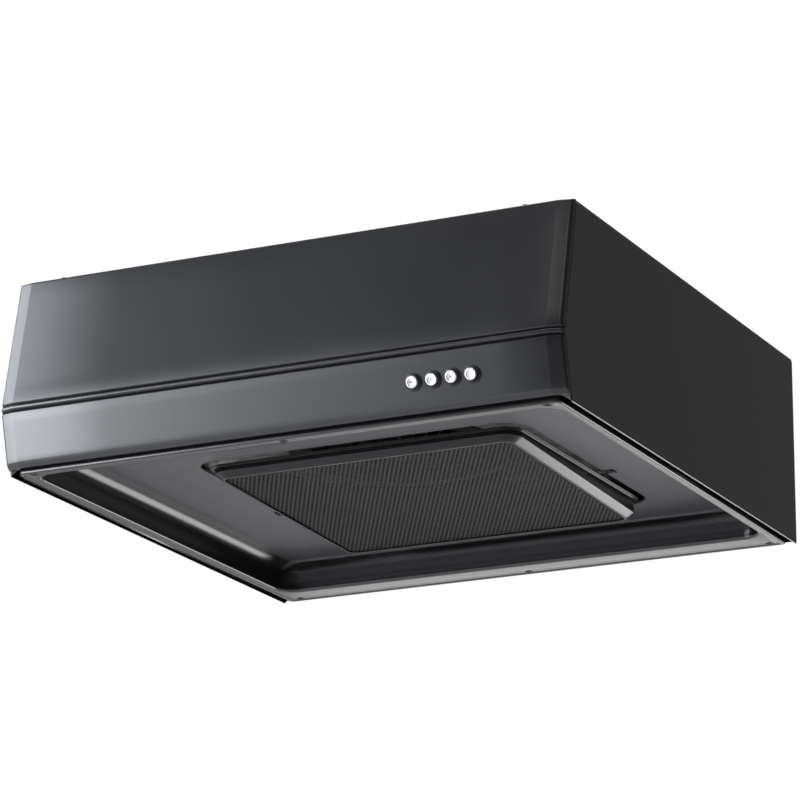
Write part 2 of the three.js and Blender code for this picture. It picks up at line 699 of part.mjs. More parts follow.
// Half-round flaps on a common pin. Each has two knuckles that turn on it, and makes room for the
// other flap's knuckles.
const FLAP = { r: COLLAR.r - 3, sheet: 0.8, edge: 3.5 };
const KNUCKLE = { r: 3.4, half: 6, web: 3 };
const RELIEF = { half: 7, deep: 4.6 };
function damperFlap(knuckleX, otherX) {
  const cut = Math.asin(FLAP.edge / FLAP.r);
  const shape = new THREE.Shape().absarc(0, 0, FLAP.r, cut, Math.PI - cut);
  const plate = slab(shape, -FLAP.sheet / 2, FLAP.sheet / 2, 12);
  const onBothSides = (piece, x) => union(piece.translate([-x, 0, 0]), piece.translate([x, 0, 0]));
  const relief = box(-RELIEF.half, RELIEF.half, -RELIEF.deep, RELIEF.deep, -FLAP.sheet, FLAP.sheet);
  const barrel = alongX(tube(KNUCKLE.r, PIN_R + GAP, -KNUCKLE.half, KNUCKLE.half, 12));
  const web = box(-KNUCKLE.half, KNUCKLE.half, KNUCKLE.web, 2 * KNUCKLE.web, -FLAP.sheet / 2, FLAP.sheet / 2);
  return plate.subtract(onBothSides(relief, otherX)).add(onBothSides(barrel.add(web), knuckleX));
}
const FRONT_KNUCKLE_X = 48;
const REAR_KNUCKLE_X = 24;
const frontFlap = damperFlap(FRONT_KNUCKLE_X, REAR_KNUCKLE_X).mirror([0, 1, 0]);
const rearFlap = damperFlap(REAR_KNUCKLE_X, FRONT_KNUCKLE_X);
add("damper_flap_front", frontFlap.translate([COLLAR.x, COLLAR.y, DAMPER_Z]), MATERIALS.zinc);
add("damper_flap_rear", rearFlap.translate([COLLAR.x, COLLAR.y, DAMPER_Z]), MATERIALS.zinc);

// ---- Switches, in the tilted group: -Y points out of the band, y = 0 is its face ----
const CAP_OUT = 5;
const CAP_IN = 7;
function buttonCap() {
  const cap = turned([
    [0, -CAP_OUT],
    [BUTTON_R - 1.4, -CAP_OUT + 0.2],
    [BUTTON_R - 0.3, -CAP_OUT + 0.9],
    [BUTTON_R, -CAP_OUT + 2],
    [BUTTON_R, CAP_IN],
    [0, CAP_IN],
  ], 20);
  return alongY(cap);
}
function buttonBezel() {
  const inner = BUTTON_R + 0.4;
  const ring = turned([
    [inner, -1],
    [BEZEL_R - 0.5, -1.6],
    [BEZEL_R, -GAP],
    [HOLE_R - GAP, -GAP],
    [HOLE_R - GAP, 8],
    [inner, 8],
  ], 20);
  return alongY(ring);
}
const SWITCH_Y = 10.6;
const BOARD_Y = 15;
BUTTON_NAMES.forEach((name, i) => {
  const x = buttonX(i);
  add(`button_${name}`, buttonCap().translate([x, 0, 0]), MATERIALS.silver, band);
  add(`bezel_${name}`, buttonBezel().translate([x, 0, 0]), MATERIALS.blackPlastic, band);
  const key = union(
    box(x - 3, x + 3, SWITCH_Y + 1, BOARD_Y - GAP, -3, 3),
    alongY(cylinder(1.7, SWITCH_Y, SWITCH_Y + 2, 16)).translate([x, 0, 0]),
  );
  add(`tact_switch_${name}`, key, MATERIALS.greyPlastic, band);
});

const BOX_HALF = 2 * BUTTON_PITCH + 10;
const board = box(BUTTON_X - BOX_HALF + 3, BUTTON_X + BOX_HALF - 3, BOARD_Y, BOARD_Y + 1.6, -13, 13);
add("circuit_board", board, MATERIALS.board, band);

function switchBox() {
  const x0 = BUTTON_X - BOX_HALF;
  const x1 = BUTTON_X + BOX_HALF;
  const shell = box(x0, x1, 1.8, 18.6, -16, 16);
  return shell.subtract(box(x0 + 1.4, x1 - 1.4, 0, 17.2, -14.6, 14.6));
}
add("switch_box", switchBox(), MATERIALS.greyPlastic, band);

// ---- Lamp: a candle bulb lying above the filter ----
function lampBracket() {
  const foot = CEILING + SHEET + GAP;
  const { x, y, z } = LAMP;
  const web = box(x - SHEET, x, y - 17, y + 17, foot, z + 15);
  return web.add(box(x - 20, x - SHEET / 2, y - 17, y + 17, foot, foot + SHEET));
}
add("lamp_bracket", lampBracket(), MATERIALS.zinc);

const SOCKET_LENGTH = 27;
const socket = tube(12, 9, LAMP.x + GAP, LAMP.x + SOCKET_LENGTH, 16);
add("lamp_socket", alongX(socket).translate([0, LAMP.y, LAMP.z]), MATERIALS.whitePlastic);

function lampBulb() {
  const profile = [
    [0, 0],
    [8.5, 0],
    [8.5, 22],
    [13, 36],
    [13.5, 44],
    [10, 56],
    [0, 68],
  ];
  const start = LAMP.x + SOCKET_LENGTH / 3;
  const bulb = turned(profile.map(([r, along]) => [r, start + along]), 16);
  return alongX(bulb).translate([0, LAMP.y, LAMP.z]);
}
add("lamp_bulb", lampBulb(), MATERIALS.glass);

// ---- Wiring ----
const CORD_R = 3.6;
function grommet() {
  const { x, y, r } = CORD_EXIT;
  const ring = turned([
    [CORD_R + 1.4, HEIGHT - 4],
    [r + 3, HEIGHT - 4],
    [r + 3, HEIGHT - SHEET - GAP],
    [r - GAP, HEIGHT - SHEET - GAP],
    [r - GAP, HEIGHT + GAP],
    [r + 3, HEIGHT + GAP],
    [r + 2, HEIGHT + 3],
    [CORD_R + 1.4, HEIGHT + 4],
  ], 16);
  return ring.translate([x, y, 0]);
}
add("cord_grommet", grommet(), MATERIALS.rubber);

const CORD_POINTS = [
  [CORD_EXIT.x, CORD_EXIT.y, 184],
  [CORD_EXIT.x, CORD_EXIT.y, 195],
  [CORD_EXIT.x, CORD_EXIT.y, 208],
  [CORD_EXIT.x + 14, CORD_EXIT.y - 20, 216],
  [CORD_EXIT.x + 40, CORD_EXIT.y - 60, 206],
  [CORD_EXIT.x + 20, CORD_EXIT.y - 150, 204.2],
  [CORD_EXIT.x + 70, CORD_EXIT.y - 230, 204.2],
  [CORD_EXIT.x + 150, CORD_EXIT.y - 200, 204.2],
  [CORD_EXIT.x + 158, CORD_EXIT.y - 130, 206],
];
function powerCord() {
  const path = new THREE.CatmullRomCurve3(CORD_POINTS.map((p) => new THREE.Vector3(...p)));
  const section = new THREE.Shape().absarc(0, 0, CORD_R, 0, 2 * Math.PI);
  const options = { steps: 28, extrudePath: path, curveSegments: 4, bevelEnabled: false };
  return solid(new THREE.ExtrudeGeometry(section, options));
}
add("power_cord", powerCord(), MATERIALS.rubber);

// A body that is narrower where it is gripped, with two flat blades.
const PLUG = { half: 12, grip: 8, gripLength: 14, length: 26, thick: 14 };
const BLADE = { x: 6.3, half: 0.8, wide: 3.2, tip: 43 };
function powerPlug() {
  const { half, grip, gripLength, length, thick } = PLUG;
  const handle = box(-grip, grip, 0, length, -thick / 2, thick / 2);
  const head = box(-half, half, gripLength, length, -thick / 2, thick / 2);
  const blade = box(-BLADE.half, BLADE.half, length - 1, BLADE.tip, -BLADE.wide, BLADE.wide);
  const blades = [-BLADE.x, BLADE.x].map((x) => blade.translate([x, 0, 0]));
  const [x, y, z] = CORD_POINTS.at(-1);
  return union(handle, head, blades).translate([x, y + 1.5, z + 1.5]);
}
add("power_plug", powerPlug(), MATERIALS.blackPlastic);

const PANEL_FACE = WALL - SHEET - GAP; // inner face of the back panel
const TERMINAL = { half: 22, deep: 22, z0: 150, z1: 172, pitch: 14 };
function terminalBlock() {
  const { half, deep, z0, z1, pitch } = TERMINAL;
  const body = box(-half, half, PANEL_FACE - deep, PANEL_FACE, z0, z1);
  const way = box(-4, 4, PANEL_FACE - deep - 1, PANEL_FACE - deep + 8, z0 + 6, z1 + 1);
  const ways = [-pitch, 0, pitch].map((x) => way.translate([x, 0, 0]));
  return body.subtract(union(ways)).translate([CORD_EXIT.x, 0, 0]);
}
add("terminal_block", terminalBlock(), MATERIALS.whitePlastic);

const CAPACITOR = { y: 110, z: 150, length: 46 };
const capacitorShape = roundedRectangle({ x0: -14, x1: 14, y0: -22, y1: 22, r: 6 });
const capacitorBody = alongX(slab(capacitorShape, 0, CAPACITOR.length, 3));
const capacitor = capacitorBody.translate([-SIDE + SHEET + GAP, CAPACITOR.y, CAPACITOR.z]);
add("motor_capacitor", capacitor, MATERIALS.blackPlastic);

export default hood;
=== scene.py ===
import math

import bmesh
import bpy
from mathutils import Matrix, Vector
from mathutils.geometry import tessellate_polygon

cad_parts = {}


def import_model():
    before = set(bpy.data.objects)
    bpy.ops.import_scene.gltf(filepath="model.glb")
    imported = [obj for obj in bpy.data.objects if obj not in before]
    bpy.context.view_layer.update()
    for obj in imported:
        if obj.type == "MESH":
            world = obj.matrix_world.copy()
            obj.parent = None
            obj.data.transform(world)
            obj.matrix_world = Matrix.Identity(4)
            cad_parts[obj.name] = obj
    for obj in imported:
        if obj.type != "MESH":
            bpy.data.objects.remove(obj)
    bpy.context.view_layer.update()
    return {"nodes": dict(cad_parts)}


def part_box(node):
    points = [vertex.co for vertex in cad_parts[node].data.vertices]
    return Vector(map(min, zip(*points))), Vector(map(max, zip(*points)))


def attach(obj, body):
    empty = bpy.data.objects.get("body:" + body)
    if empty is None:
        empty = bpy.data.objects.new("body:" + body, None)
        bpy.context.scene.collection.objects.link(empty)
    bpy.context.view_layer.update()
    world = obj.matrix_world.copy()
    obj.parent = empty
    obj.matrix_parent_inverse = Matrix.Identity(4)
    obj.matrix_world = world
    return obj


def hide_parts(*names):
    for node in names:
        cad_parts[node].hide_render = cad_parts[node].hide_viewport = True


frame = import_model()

MM = 0.001


def cad(node):
    """Lowest and highest corner of a CAD node, in millimetres."""
    low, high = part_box(node)
    return low / MM, high / MM


def middle(node):
    """x, y and z of the middle of a CAD node's box."""
    low, high = cad(node)
    return [(a + b) / 2 for a, b in zip(low, high)]


# ---- Driving dimensions ----
COVER_LOW, COVER_HIGH = cad("front_cover")
SIDE = COVER_HIGH.x
BULGE = COVER_LOW.y
TOP = COVER_HIGH.z
BEND_Z = 63
TOP_SETBACK = 30
LOWER_SLOPE = 0.25
WRAP = 9
SHEET = 1
GROOVES = [59.8, 66.2]
GROOVE_HALF = 2.4
GROOVE_DEEP = 1.8
GROOVE_STEPS = 12

PAN_LOW, PAN_HIGH = cad("bottom_pan")
CEILING = 35
RECESS = {"x": 279, "y0": -265, "y1": 258, "r": 22}
OPENING = {"x": 180, "y0": -131, "y1": 205, "r": 30}
NOTCH_Y = 75
NOTCH_HALF = 7
NOTCH_REACH = 12

TRAY = {"x": 168.5, "y0": -114, "y1": 194, "r": 19}  # outline of its upright walls
TRAY_FRONT_Z = 24
TRAY_REAR_Z = 14
FLANGE_WIDTH = 5
SLOPE_WIDE = 8  # the walls run in to the tray's face down a slope
SLOPE_HIGH = 5.5
WINDOW_INSET = 10
MESH_INSET = WINDOW_INSET - 1  # the perforated sheet laps 1 mm over the border
WINDOW = {"x": TRAY["x"] - MESH_INSET, "y0": TRAY["y0"] + MESH_INSET, "y1": TRAY["y1"] - MESH_INSET}
WINDOW_R = 9
HOOK_X = 190
HOLE_PITCH = 5
HOLE_R = 1.4

BUTTONS = ["off", "low", "high", "light"]
BUTTON_Z = 33.5
BUTTON_HOLE_R = 8
BAND_ANGLE = math.atan(LOWER_SLOPE)


def front_y(z):
    """y of the cover's outer face at height z, away from its rounded edges."""
    if z < BEND_Z:
        return BULGE + (BEND_Z - z) * LOWER_SLOPE
    return BULGE + (z - BEND_Z) / (TOP - BEND_Z) * TOP_SETBACK


# ---- Materials ----
class Nodes:
    """A short way to write the node tree of a new material, or of one that is already there."""

    def __init__(self, name, material=None):
        self.material = material or bpy.data.materials.new(name)
        self.material.use_nodes = True
        self.tree = self.material.node_tree
        self.shader = self.tree.nodes["Principled BSDF"]
        self.place = self.add("ShaderNodeTexCoord").outputs["Object"]

    def add(self, kind, **inputs):
        node = self.tree.nodes.new(kind)
        for name, value in inputs.items():
            self.set(node, name.replace("_", " "), value)
        return node

    def set(self, node, name, value):
        if isinstance(value, bpy.types.NodeSocket):
            self.tree.links.new(value, node.inputs[name])
        else:
            node.inputs[name].default_value = value

    def noise(self, scale, detail=4.0, roughness=0.55):
        node = self.add("ShaderNodeTexNoise", Scale=scale, Detail=detail, Roughness=roughness)
        self.tree.links.new(self.place, node.inputs["Vector"])
        return node.outputs["Fac"]

    def combine(self, operation, first, second=0.0):
        """The result of a sum, product or the like of two numbers or sockets."""
        node = self.tree.nodes.new("ShaderNodeMath")
        node.operation = operation
        for socket, value in zip(node.inputs, (first, second)):
            if isinstance(value, bpy.types.NodeSocket):
                self.tree.links.new(value, socket)
            else:
                socket.default_value = value
        return node.outputs["Value"]

    def height(self):
        return self.add("ShaderNodeSeparateXYZ", Vector=self.place).outputs["Z"]

    def ramp(self, value, start, end, low=0.0, high=1.0):
        """A number that runs from low to high as value goes from start to end."""
        ends = {"From_Min": start, "From_Max": end, "To_Min": low, "To_Max": high}
        return self.add("ShaderNodeMapRange", Value=value, **ends).outputs["Result"]

    def cells(self, scale):
        node = self.add("ShaderNodeTexVoronoi", Scale=scale)
        self.tree.links.new(self.place, node.inputs["Vector"])
        return node

    def between(self, factor, low, high):
        """A number or a colour that runs from low to high as factor goes from 0.3 to 0.7."""
        ramp = self.add("ShaderNodeValToRGB", Fac=factor)
        first, last = ramp.color_ramp.elements
        first.position, last.position = 0.3, 0.7
        first.color = colour(low)
        last.color = colour(high)
        return ramp.outputs["Color"]

    def bump(self, height, strength, distance):
        node = self.add("ShaderNodeBump", Strength=strength, Distance=distance, Height=height)
        self.set(self.shader, "Normal", node.outputs["Normal"])

    def finish(self, **inputs):
        for name, value in inputs.items():
            self.set(self.shader, name.replace("_", " "), value)
        return self.material


def colour(value):
    if isinstance(value, (int, float)):
        return (value, value, value, 1)
    return (*value, 1)


def darker(tint, share):
    return tuple(c * share for c in tint)


def gloss_paint(name, tint, rough, peel=0.04, shine=0.5, coat=0.35):
    """Baked enamel: an even colour, faint smears in its shine and a very slight orange peel."""
    n = Nodes(name)
    smear = n.between(n.noise(9, 5), rough * 0.95, rough * 1.06)
    n.bump(n.noise(420, 2), peel, 0.0002)
    return n.finish(
        Base_Color=n.between(n.noise(3), darker(tint, 0.8), tint),
        Roughness=smear,
        Specular_IOR_Level=shine,
        Coat_Weight=coat,
        Coat_Roughness=rough * 0.8,
    )


GROOVE_SHADE_FULL = 0.8  # painted shade: within this of a groove's middle the paint hardly shines
GROOVE_SHADE_END = 1.7  # and beyond this it shines fully, clear of the painted shade
GROOVE_SHADE_LINE = 0.3  # how far below the groove's middle its painted line of shade sits


def cover_paint(name, tint, rough):
    """The enamel of the front cover, with almost no shine left in the bottom of its grooves: painted shade
    for the shade that falls in them.
    """
    material = gloss_paint(name, tint, rough)
    n = Nodes(name, material)
    height = n.height()
    clear = 1.0
    for z in GROOVES:
        away = n.combine("ABSOLUTE", n.combine("SUBTRACT", height, (z - GROOVE_SHADE_LINE) * MM))
        clear = n.combine("MULTIPLY", clear, n.ramp(away, GROOVE_SHADE_FULL * MM, GROOVE_SHADE_END * MM))
    # Painted shade: the shine and the coat drop to almost nothing in the grooves.
    n.set(n.shader, "Specular IOR Level", n.ramp(clear, 0, 1, 0.05, 0.5))
    n.set(n.shader, "Coat Weight", n.ramp(clear, 0, 1, 0, 0.35))
    return material


RIM_PAINT = (2, 4)  # heights between which the rim's paint gives way to the wall's, whose lower shine is painted shade
CEILING_PAINTED_LIGHT_FROM = 32.5  # height at which the wall's paint gives way to the ceiling's, whose lighter colour is painted light
WALL_PAINTED_SHADE_TOP = 20  # height up to which the wall keeps its low shine, painted shade
PAINT_BLEND = 2
TINT_BLEND = 2.2


def pan_paint(name, tint, ceiling_painted_light_tint):
    """The pan's enamel, glossy on the rim and dull on the flat ceiling. The low shine of the drawn walls is
    painted shade, and the ceiling's lighter colour is painted light.
    """
    material = gloss_paint(name, tint, 0.26)
    n = Nodes(name, material)
    height = n.height()

    def by_height(at_rim, on_wall, on_ceiling, start=CEILING_PAINTED_LIGHT_FROM):
        lower = n.ramp(height, RIM_PAINT[0] * MM, RIM_PAINT[1] * MM, at_rim, on_wall)
        upper = n.ramp(height, start * MM, (start + PAINT_BLEND) * MM, 0, on_ceiling - on_wall)
        return n.combine("ADD", lower, upper)

    # Painted light: the ceiling gets a lighter colour than the rest of the pan.
    mixed = n.tree.nodes.new("ShaderNodeMixRGB")
    n.set(mixed, "Fac", n.ramp(height, CEILING_PAINTED_LIGHT_FROM * MM, (CEILING_PAINTED_LIGHT_FROM + TINT_BLEND) * MM))
    n.set(mixed, "Color1", n.between(n.noise(3), darker(tint, 0.8), tint))
    n.set(mixed, "Color2", n.between(n.noise(3), darker(ceiling_painted_light_tint, 0.9), ceiling_painted_light_tint))
    n.set(n.shader, "Base Color", mixed.outputs["Color"])
    n.set(n.shader, "Roughness", by_height(0.26, 0.22, 0.45))
    # Painted shade: the walls keep a low shine and no coat.
    n.set(n.shader, "Specular IOR Level", by_height(0.5, 0.2, 0.5, WALL_PAINTED_SHADE_TOP))
    n.set(n.shader, "Coat Weight", by_height(0.35, 0.0, 0.0))
    return material


def galvanised(name):
    """Zinc-coated sheet with crystal spangle."""
    n = Nodes(name)
    spangle = n.cells(90)
    mixed = n.between(spangle.outputs["Color"], 0.42, 0.6)
    rough = n.between(n.noise(160, 3), 0.34, 0.5)
    n.bump(n.noise(700, 2), 0.08, 0.0002)
    return n.finish(Base_Color=mixed, Metallic=0.9, Roughness=rough)


def plastic(name, tint, rough, grain=900):
    n = Nodes(name)
    shade = n.between(n.noise(60), darker(tint, 0.88), tint)
    n.bump(n.noise(grain, 2), 0.12, 0.0002)
    return n.finish(Base_Color=shade, Roughness=n.between(n.noise(240), rough * 0.9, rough * 1.1))


def metal(name, tint, rough):
    n = Nodes(name)
    shade = n.between(n.noise(120), darker(tint, 0.85), tint)
    n.bump(n.noise(1200, 2), 0.05, 0.0001)
    smear = n.between(n.noise(300), rough * 0.8, rough * 1.2)
    return n.finish(Base_Color=shade, Metallic=1.0, Roughness=smear)


def frosted_glass(name):
    n = Nodes(name)
    haze = n.between(n.noise(140), 0.3, 0.42)
    return n.finish(Base_Color=colour((0.9, 0.88, 0.8)), Roughness=haze, Subsurface_Weight=0.2)


PAINT_COVER = cover_paint("cover_paint", (0.0045, 0.0047, 0.0062), 0.31)
PAINT_BODY = gloss_paint("body_paint", (0.005, 0.0042, 0.0045), 0.24)
# The second colour is the ceiling's painted light.
PAINT_PAN = pan_paint("pan_paint", (0.006, 0.0058, 0.0068), (0.055, 0.054, 0.06))
PAINT_FILTER = gloss_paint("filter_paint", (0.005, 0.005, 0.006), 0.22, 0.03, 0.32, 0.0)
PAINT_MESH = gloss_paint("mesh_paint", (0.005, 0.005, 0.006), 0.4, 0.02, 0.12, 0.0)
ZINC = galvanised("zinc")
SILVER = metal("button_silver", (0.7, 0.7, 0.72), 0.42)
BLACK_PLASTIC = plastic("black_plastic", (0.012, 0.012, 0.013), 0.38)
GREY_PLASTIC = plastic("grey_plastic", (0.25, 0.26, 0.28), 0.55)
WHITE_PLASTIC = plastic("white_plastic", (0.8, 0.8, 0.76), 0.5)
MARK = plastic("button_mark", (0.03, 0.03, 0.035), 0.5)
BOARD = plastic("board", (0.02, 0.13, 0.05), 0.45, 300)
STEEL = metal("steel", (0.62, 0.63, 0.65), 0.3)
BLACK_STEEL = metal("black_steel", (0.05, 0.05, 0.055), 0.35)
RUBBER = plastic("rubber", (0.02, 0.02, 0.02), 0.62)
FOAM = plastic("foam", (0.03, 0.03, 0.03), 0.9, 350)
GLASS = frosted_glass("bulb_glass")


# ---- Mesh tools ----
def arc(radius, steps):
    """[inset, depth] pairs round a convex edge, from the flat face to the side."""
    turns = [math.pi / 2 * k / steps for k in range(steps + 1)]
    return [(radius * (1 - math.sin(t)), radius * (1 - math.cos(t))) for t in turns]


def shifted(profile, out, up):
    """A [radius, height] profile moved outwards and upwards."""
    return [(out + radius, up + height) for radius, height in profile]


def rounded_outline(corners, steps=6):
    """An anticlockwise outline from [x, y, radius] corners, each turned into an arc."""
    outline = []
    count = len(corners)
    for i, (x, y, radius) in enumerate(corners):
        here = Vector((x, y))
        back = (Vector(corners[i - 1][:2]) - here).normalized()
        on = (Vector(corners[(i + 1) % count][:2]) - here).normalized()
        half = back.angle(on) / 2
        if radius <= 0:
            outline.append(here)
            continue
        centre = here + (back + on).normalized() * (radius / math.sin(half))
        start = here + back * (radius / math.tan(half)) - centre
        end = here + on * (radius / math.tan(half)) - centre
        turn = start.angle_signed(end)
        for k in range(steps + 1):
            spun = start.copy()
            spun.rotate(Matrix.Rotation(-turn * k / steps, 2))
            outline.append(centre + spun)
    return outline


def rectangle(x0, x1, y0, y1, radius, steps=6):
    corners = [(x0, y0, radius), (x1, y0, radius), (x1, y1, radius), (x0, y1, radius)]
    return rounded_outline(corners, steps)


def offset(outline, by):
    """The outline moved inwards by a distance, corner by corner."""
    moved = []
    count = len(outline)
    for i, here in enumerate(outline):
        along = (here - outline[i - 1]).normalized()
        ahead = (outline[(i + 1) % count] - here).normalized()
        left = Vector((-along.y - ahead.y, along.x + ahead.x)).normalized()
        share = max(0.3, left.dot(Vector((-along.y, along.x))))
        moved.append(here + left * (by / share))
    return moved


def piece(name, verts, faces, material, body, replaces=(), sharp=32, out=None):
    """A mesh object in the hood's frame from corners in millimetres. out is a direction that its
    first face should look in; without it the faces are made consistent and outward."""
    mesh = bpy.data.meshes.new(name)
    mesh.from_pydata([Vector(v) * MM for v in verts], [], faces)
    work = bmesh.new()
    work.from_mesh(mesh)
    bmesh.ops.remove_doubles(work, verts=work.verts, dist=1e-6)
    bmesh.ops.dissolve_degenerate(work, edges=work.edges, dist=1e-7)
    bmesh.ops.recalc_face_normals(work, faces=work.faces)
    if out is not None:
        lean = sum((f.normal * f.calc_area() for f in work.faces), Vector())
        if lean.dot(Vector(out)) < 0:
            bmesh.ops.reverse_faces(work, faces=work.faces)
    work.to_mesh(mesh)
    work.free()
    mesh.polygons.foreach_set("use_smooth", [True] * len(mesh.polygons))
    mesh.set_sharp_from_angle(angle=math.radians(sharp))
    mesh.materials.append(material)
    made = bpy.data.objects.new(name, mesh)
    bpy.context.scene.collection.objects.link(made)
    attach(made, body)
    if replaces:
        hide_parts(*replaces)
    return made


def thicken(made, thickness, side=-1):
    """Gives a sheet its thickness, behind its outer face."""
    solid = made.modifiers.new("thickness", "SOLIDIFY")
    solid.thickness = thickness * MM
    solid.offset = side
    solid.use_even_offset = True
    return made


def apply_modifiers(made):
    graph = bpy.context.evaluated_depsgraph_get()
    done = bpy.data.meshes.new_from_object(made.evaluated_get(graph))
    made.modifiers.clear()
    made.data = done
    return made


def cut(made, *cutters):
    """Cuts closed meshes out of a piece and removes them."""
    for cutter in cutters:
        hole = made.modifiers.new("cut", "BOOLEAN")
        hole.object = cutter
        hole.operation = "DIFFERENCE"
        hole.solver = "EXACT"
    bpy.context.view_layer.update()
    apply_modifiers(made)
    for cutter in cutters:
        bpy.data.objects.remove(cutter)
    made.data.set_sharp_from_angle(angle=math.radians(32))
    return made


def strips(rings, closed=True):
    """Faces between successive rings of equal length."""
    count = len(rings[0])
    faces = []
    for k in range(len(rings) - 1):
        for i in range(count if closed else count - 1):
            j = (i + 1) % count
            faces.append((k * count + i, k * count + j, (k + 1) * count + j, (k + 1) * count + i))
    return faces


def sheet_between(loops, start):
    """Triangles of the flat sheet between an outline and its holes, numbered from start."""
    flat = [[Vector((p.x, p.y, 0)) for p in loop] for loop in loops]
    return [tuple(start + i for i in triangle) for triangle in tessellate_polygon(flat)]


def skin(name, rings, material, body, replaces=(), closed=True, lids=(), **shading):
    """A piece made of the strips between rings. lids lists the rings that are closed with a face."""
    verts = [v for ring in rings for v in ring]
    count = len(rings[0])
    faces = strips(rings, closed) + [tuple(range(k * count, (k + 1) * count)) for k in lids]
    return piece(name, verts, faces, material, body, replaces, **shading)


def turned_mesh(loop, segments=48, arm=None):
    """Corners and faces of a round solid. loop is a closed run of [radius, height], and arm maps
    a point built about +Z into place."""
    arm = arm or Matrix.Identity(4)
    rings = []
    for k in range(segments):
        turn = 2 * math.pi * k / segments
        rings.append([arm @ Vector((r * math.cos(turn), r * math.sin(turn), h)) for r, h in loop])
    rings.append(rings[0])
    verts = [v for ring in rings for v in ring]
    return verts, strips(rings)


def turned(name, loop, material, body, replaces=(), segments=48, arm=None, sharp=32):
    verts, faces = turned_mesh(loop, segments, arm)
    return piece(name, verts, faces, material, body, replaces, sharp)


def at(x, y, z, axis="Z", flip=False):
    """A frame whose +Z runs along the hood's Z or X axis, or the other way when flipped."""
    turn = Matrix.Rotation(math.pi / 2, 4, "Y") if axis == "X" else Matrix()
    spin = Matrix.Rotation(math.pi, 4, "X") if flip else Matrix()
    return Matrix.Translation((x, y, z)) @ turn @ spin


def cylinder_cutter(radius, low, high, arm):
    verts, faces = turned_mesh([(0, low), (radius, low), (radius, high), (0, high)], arm=arm)
    return piece("cutter", verts, faces, STEEL, "casing")


# ---- Front cover ----
COVER_BOTTOM = COVER_LOW.z
LOWER_ROUND = 6
UPPER_ROUND = 2.2
END_ROUND = 3.5


def cover_profile():
    """[z, setback] up the cover's middle, from the turned-under edge to the top's rear edge."""
    lower = [(COVER_BOTTOM, WRAP)]
    lower += [(COVER_BOTTOM + inset, depth) for inset, depth in reversed(arc(LOWER_ROUND, 8))]
    bands = []
    for z in GROOVES:
        for k in range(GROOVE_STEPS + 1):
            share = 2 * k / GROOVE_STEPS - 1
            bands.append((z + GROOVE_HALF * share, GROOVE_DEEP * (1 + math.cos(math.pi * share)) / 2))
    upper = [(TOP - inset, depth) for inset, depth in arc(UPPER_ROUND, 5)]
    upper.append((TOP, WRAP))
    levels = [(16, 0), (28, 0), (48, 0)] + bands + [(90, 0), (130, 0), (170, 0)]
    return lower + levels + upper


def cover_stations():
    """[x, setback] across the cover: a flat, a facet turned back, and a rounded end."""
    right = [(SIDE - 15.5, 0), (SIDE - 14.8, 0.12), (SIDE - END_ROUND - 0.6, 2.75)]
    right += [(SIDE - inset, 2.9 + depth) for inset, depth in arc(END_ROUND, 7)]
    right.append((SIDE, WRAP))
    left = [(-x, back) for x, back in reversed(right)]
    middle = [(-180, 0), (-60, 0), (60, 0), (120, 0), (230, 0)]
    return left + middle + right


def front_cover():
    rows = []
    for x, side_back in cover_stations():
        rows.append([(x, front_y(z) + min(side_back + back, WRAP), z) for z, back in cover_profile()])
    made = skin("front_cover_sheet", rows, PAINT_COVER, "casing", ["front_cover"], False, sharp=40,
                out=(0, -1, 0))
    apply_modifiers(thicken(made, SHEET * 0.9))
    holes = []
    for name in BUTTONS:
        holes.append(cylinder_cutter(BUTTON_HOLE_R, -10, 10, band_arm(button_x(name))))
    return cut(made, *holes)


def button_x(name):
    return middle("button_" + name)[0]


def band_arm(x):
    """A frame on the lower band whose +Z points out of it."""
    tilt = Matrix.Rotation(BAND_ANGLE, 4, "X") @ Matrix.Rotation(math.pi / 2, 4, "X")
    return Matrix.Translation((x, front_y(BUTTON_Z), BUTTON_Z)) @ tilt


front_cover()


# ---- Buttons ----
CAP_R = 6
CAP_OUT = 5


def button(name):
    arm = band_arm(button_x(name))
    edge = [(CAP_R - inset, CAP_OUT - depth) for inset, depth in reversed(arc(1.3, 6))]
    face = [(CAP_R - 1.6, CAP_OUT - 0.12), (CAP_R - 2.4, CAP_OUT - 0.35), (0, CAP_OUT - 0.5)]
    loop = [(0, -7), (CAP_R, -7)] + edge + face
    turned("button_cap_" + name, loop, SILVER, name + "_button", ["button_" + name], 48, arm)
    inner = CAP_R + 0.4
    rim = [(inner, 0.6), (inner + 0.5, 1.3), (inner + 1.1, 1.6), (7.9, 1.45), (8.4, 1.0), (8.6, 0.3)]
    loop = [(inner, -8)] + rim + [(7.7, 0.3), (7.7, -8)]
    turned("bezel_ring_" + name, loop[::-1], BLACK_PLASTIC, "casing", ["bezel_" + name], 48, arm)


def raised(name, outline, low, high, material, body, arm):
    """A flat plate with slightly rounded upper edges, for a mark or a small part."""
    soft = min(0.12, (high - low) / 2)
    levels = [(outline, low), (outline, high - soft), (offset(outline, soft), high)]
    rings = [[arm @ Vector((p.x, p.y, h)) for p in ring] for ring, h in levels]
    return skin(name, rings, material, body, lids=(0, 2))


def button_marks():
    """A bar on the first cap and a small lamp on the two in the middle."""
    low = CAP_OUT - 0.5
    bar = rectangle(-2.6, 2.6, -0.5, 0.5, 0.45, 4)
    dot = rectangle(-0.9, 0.9, -0.9, 0.9, 0.88, 5)
    for name, outline in (("off", bar), ("low", dot), ("high", dot)):
        arm = band_arm(button_x(name))
        raised("button_mark_" + name, outline, low - 0.3, low + 0.22, MARK, name + "_button", arm)


for button_name in BUTTONS:
    button(button_name)
button_marks()


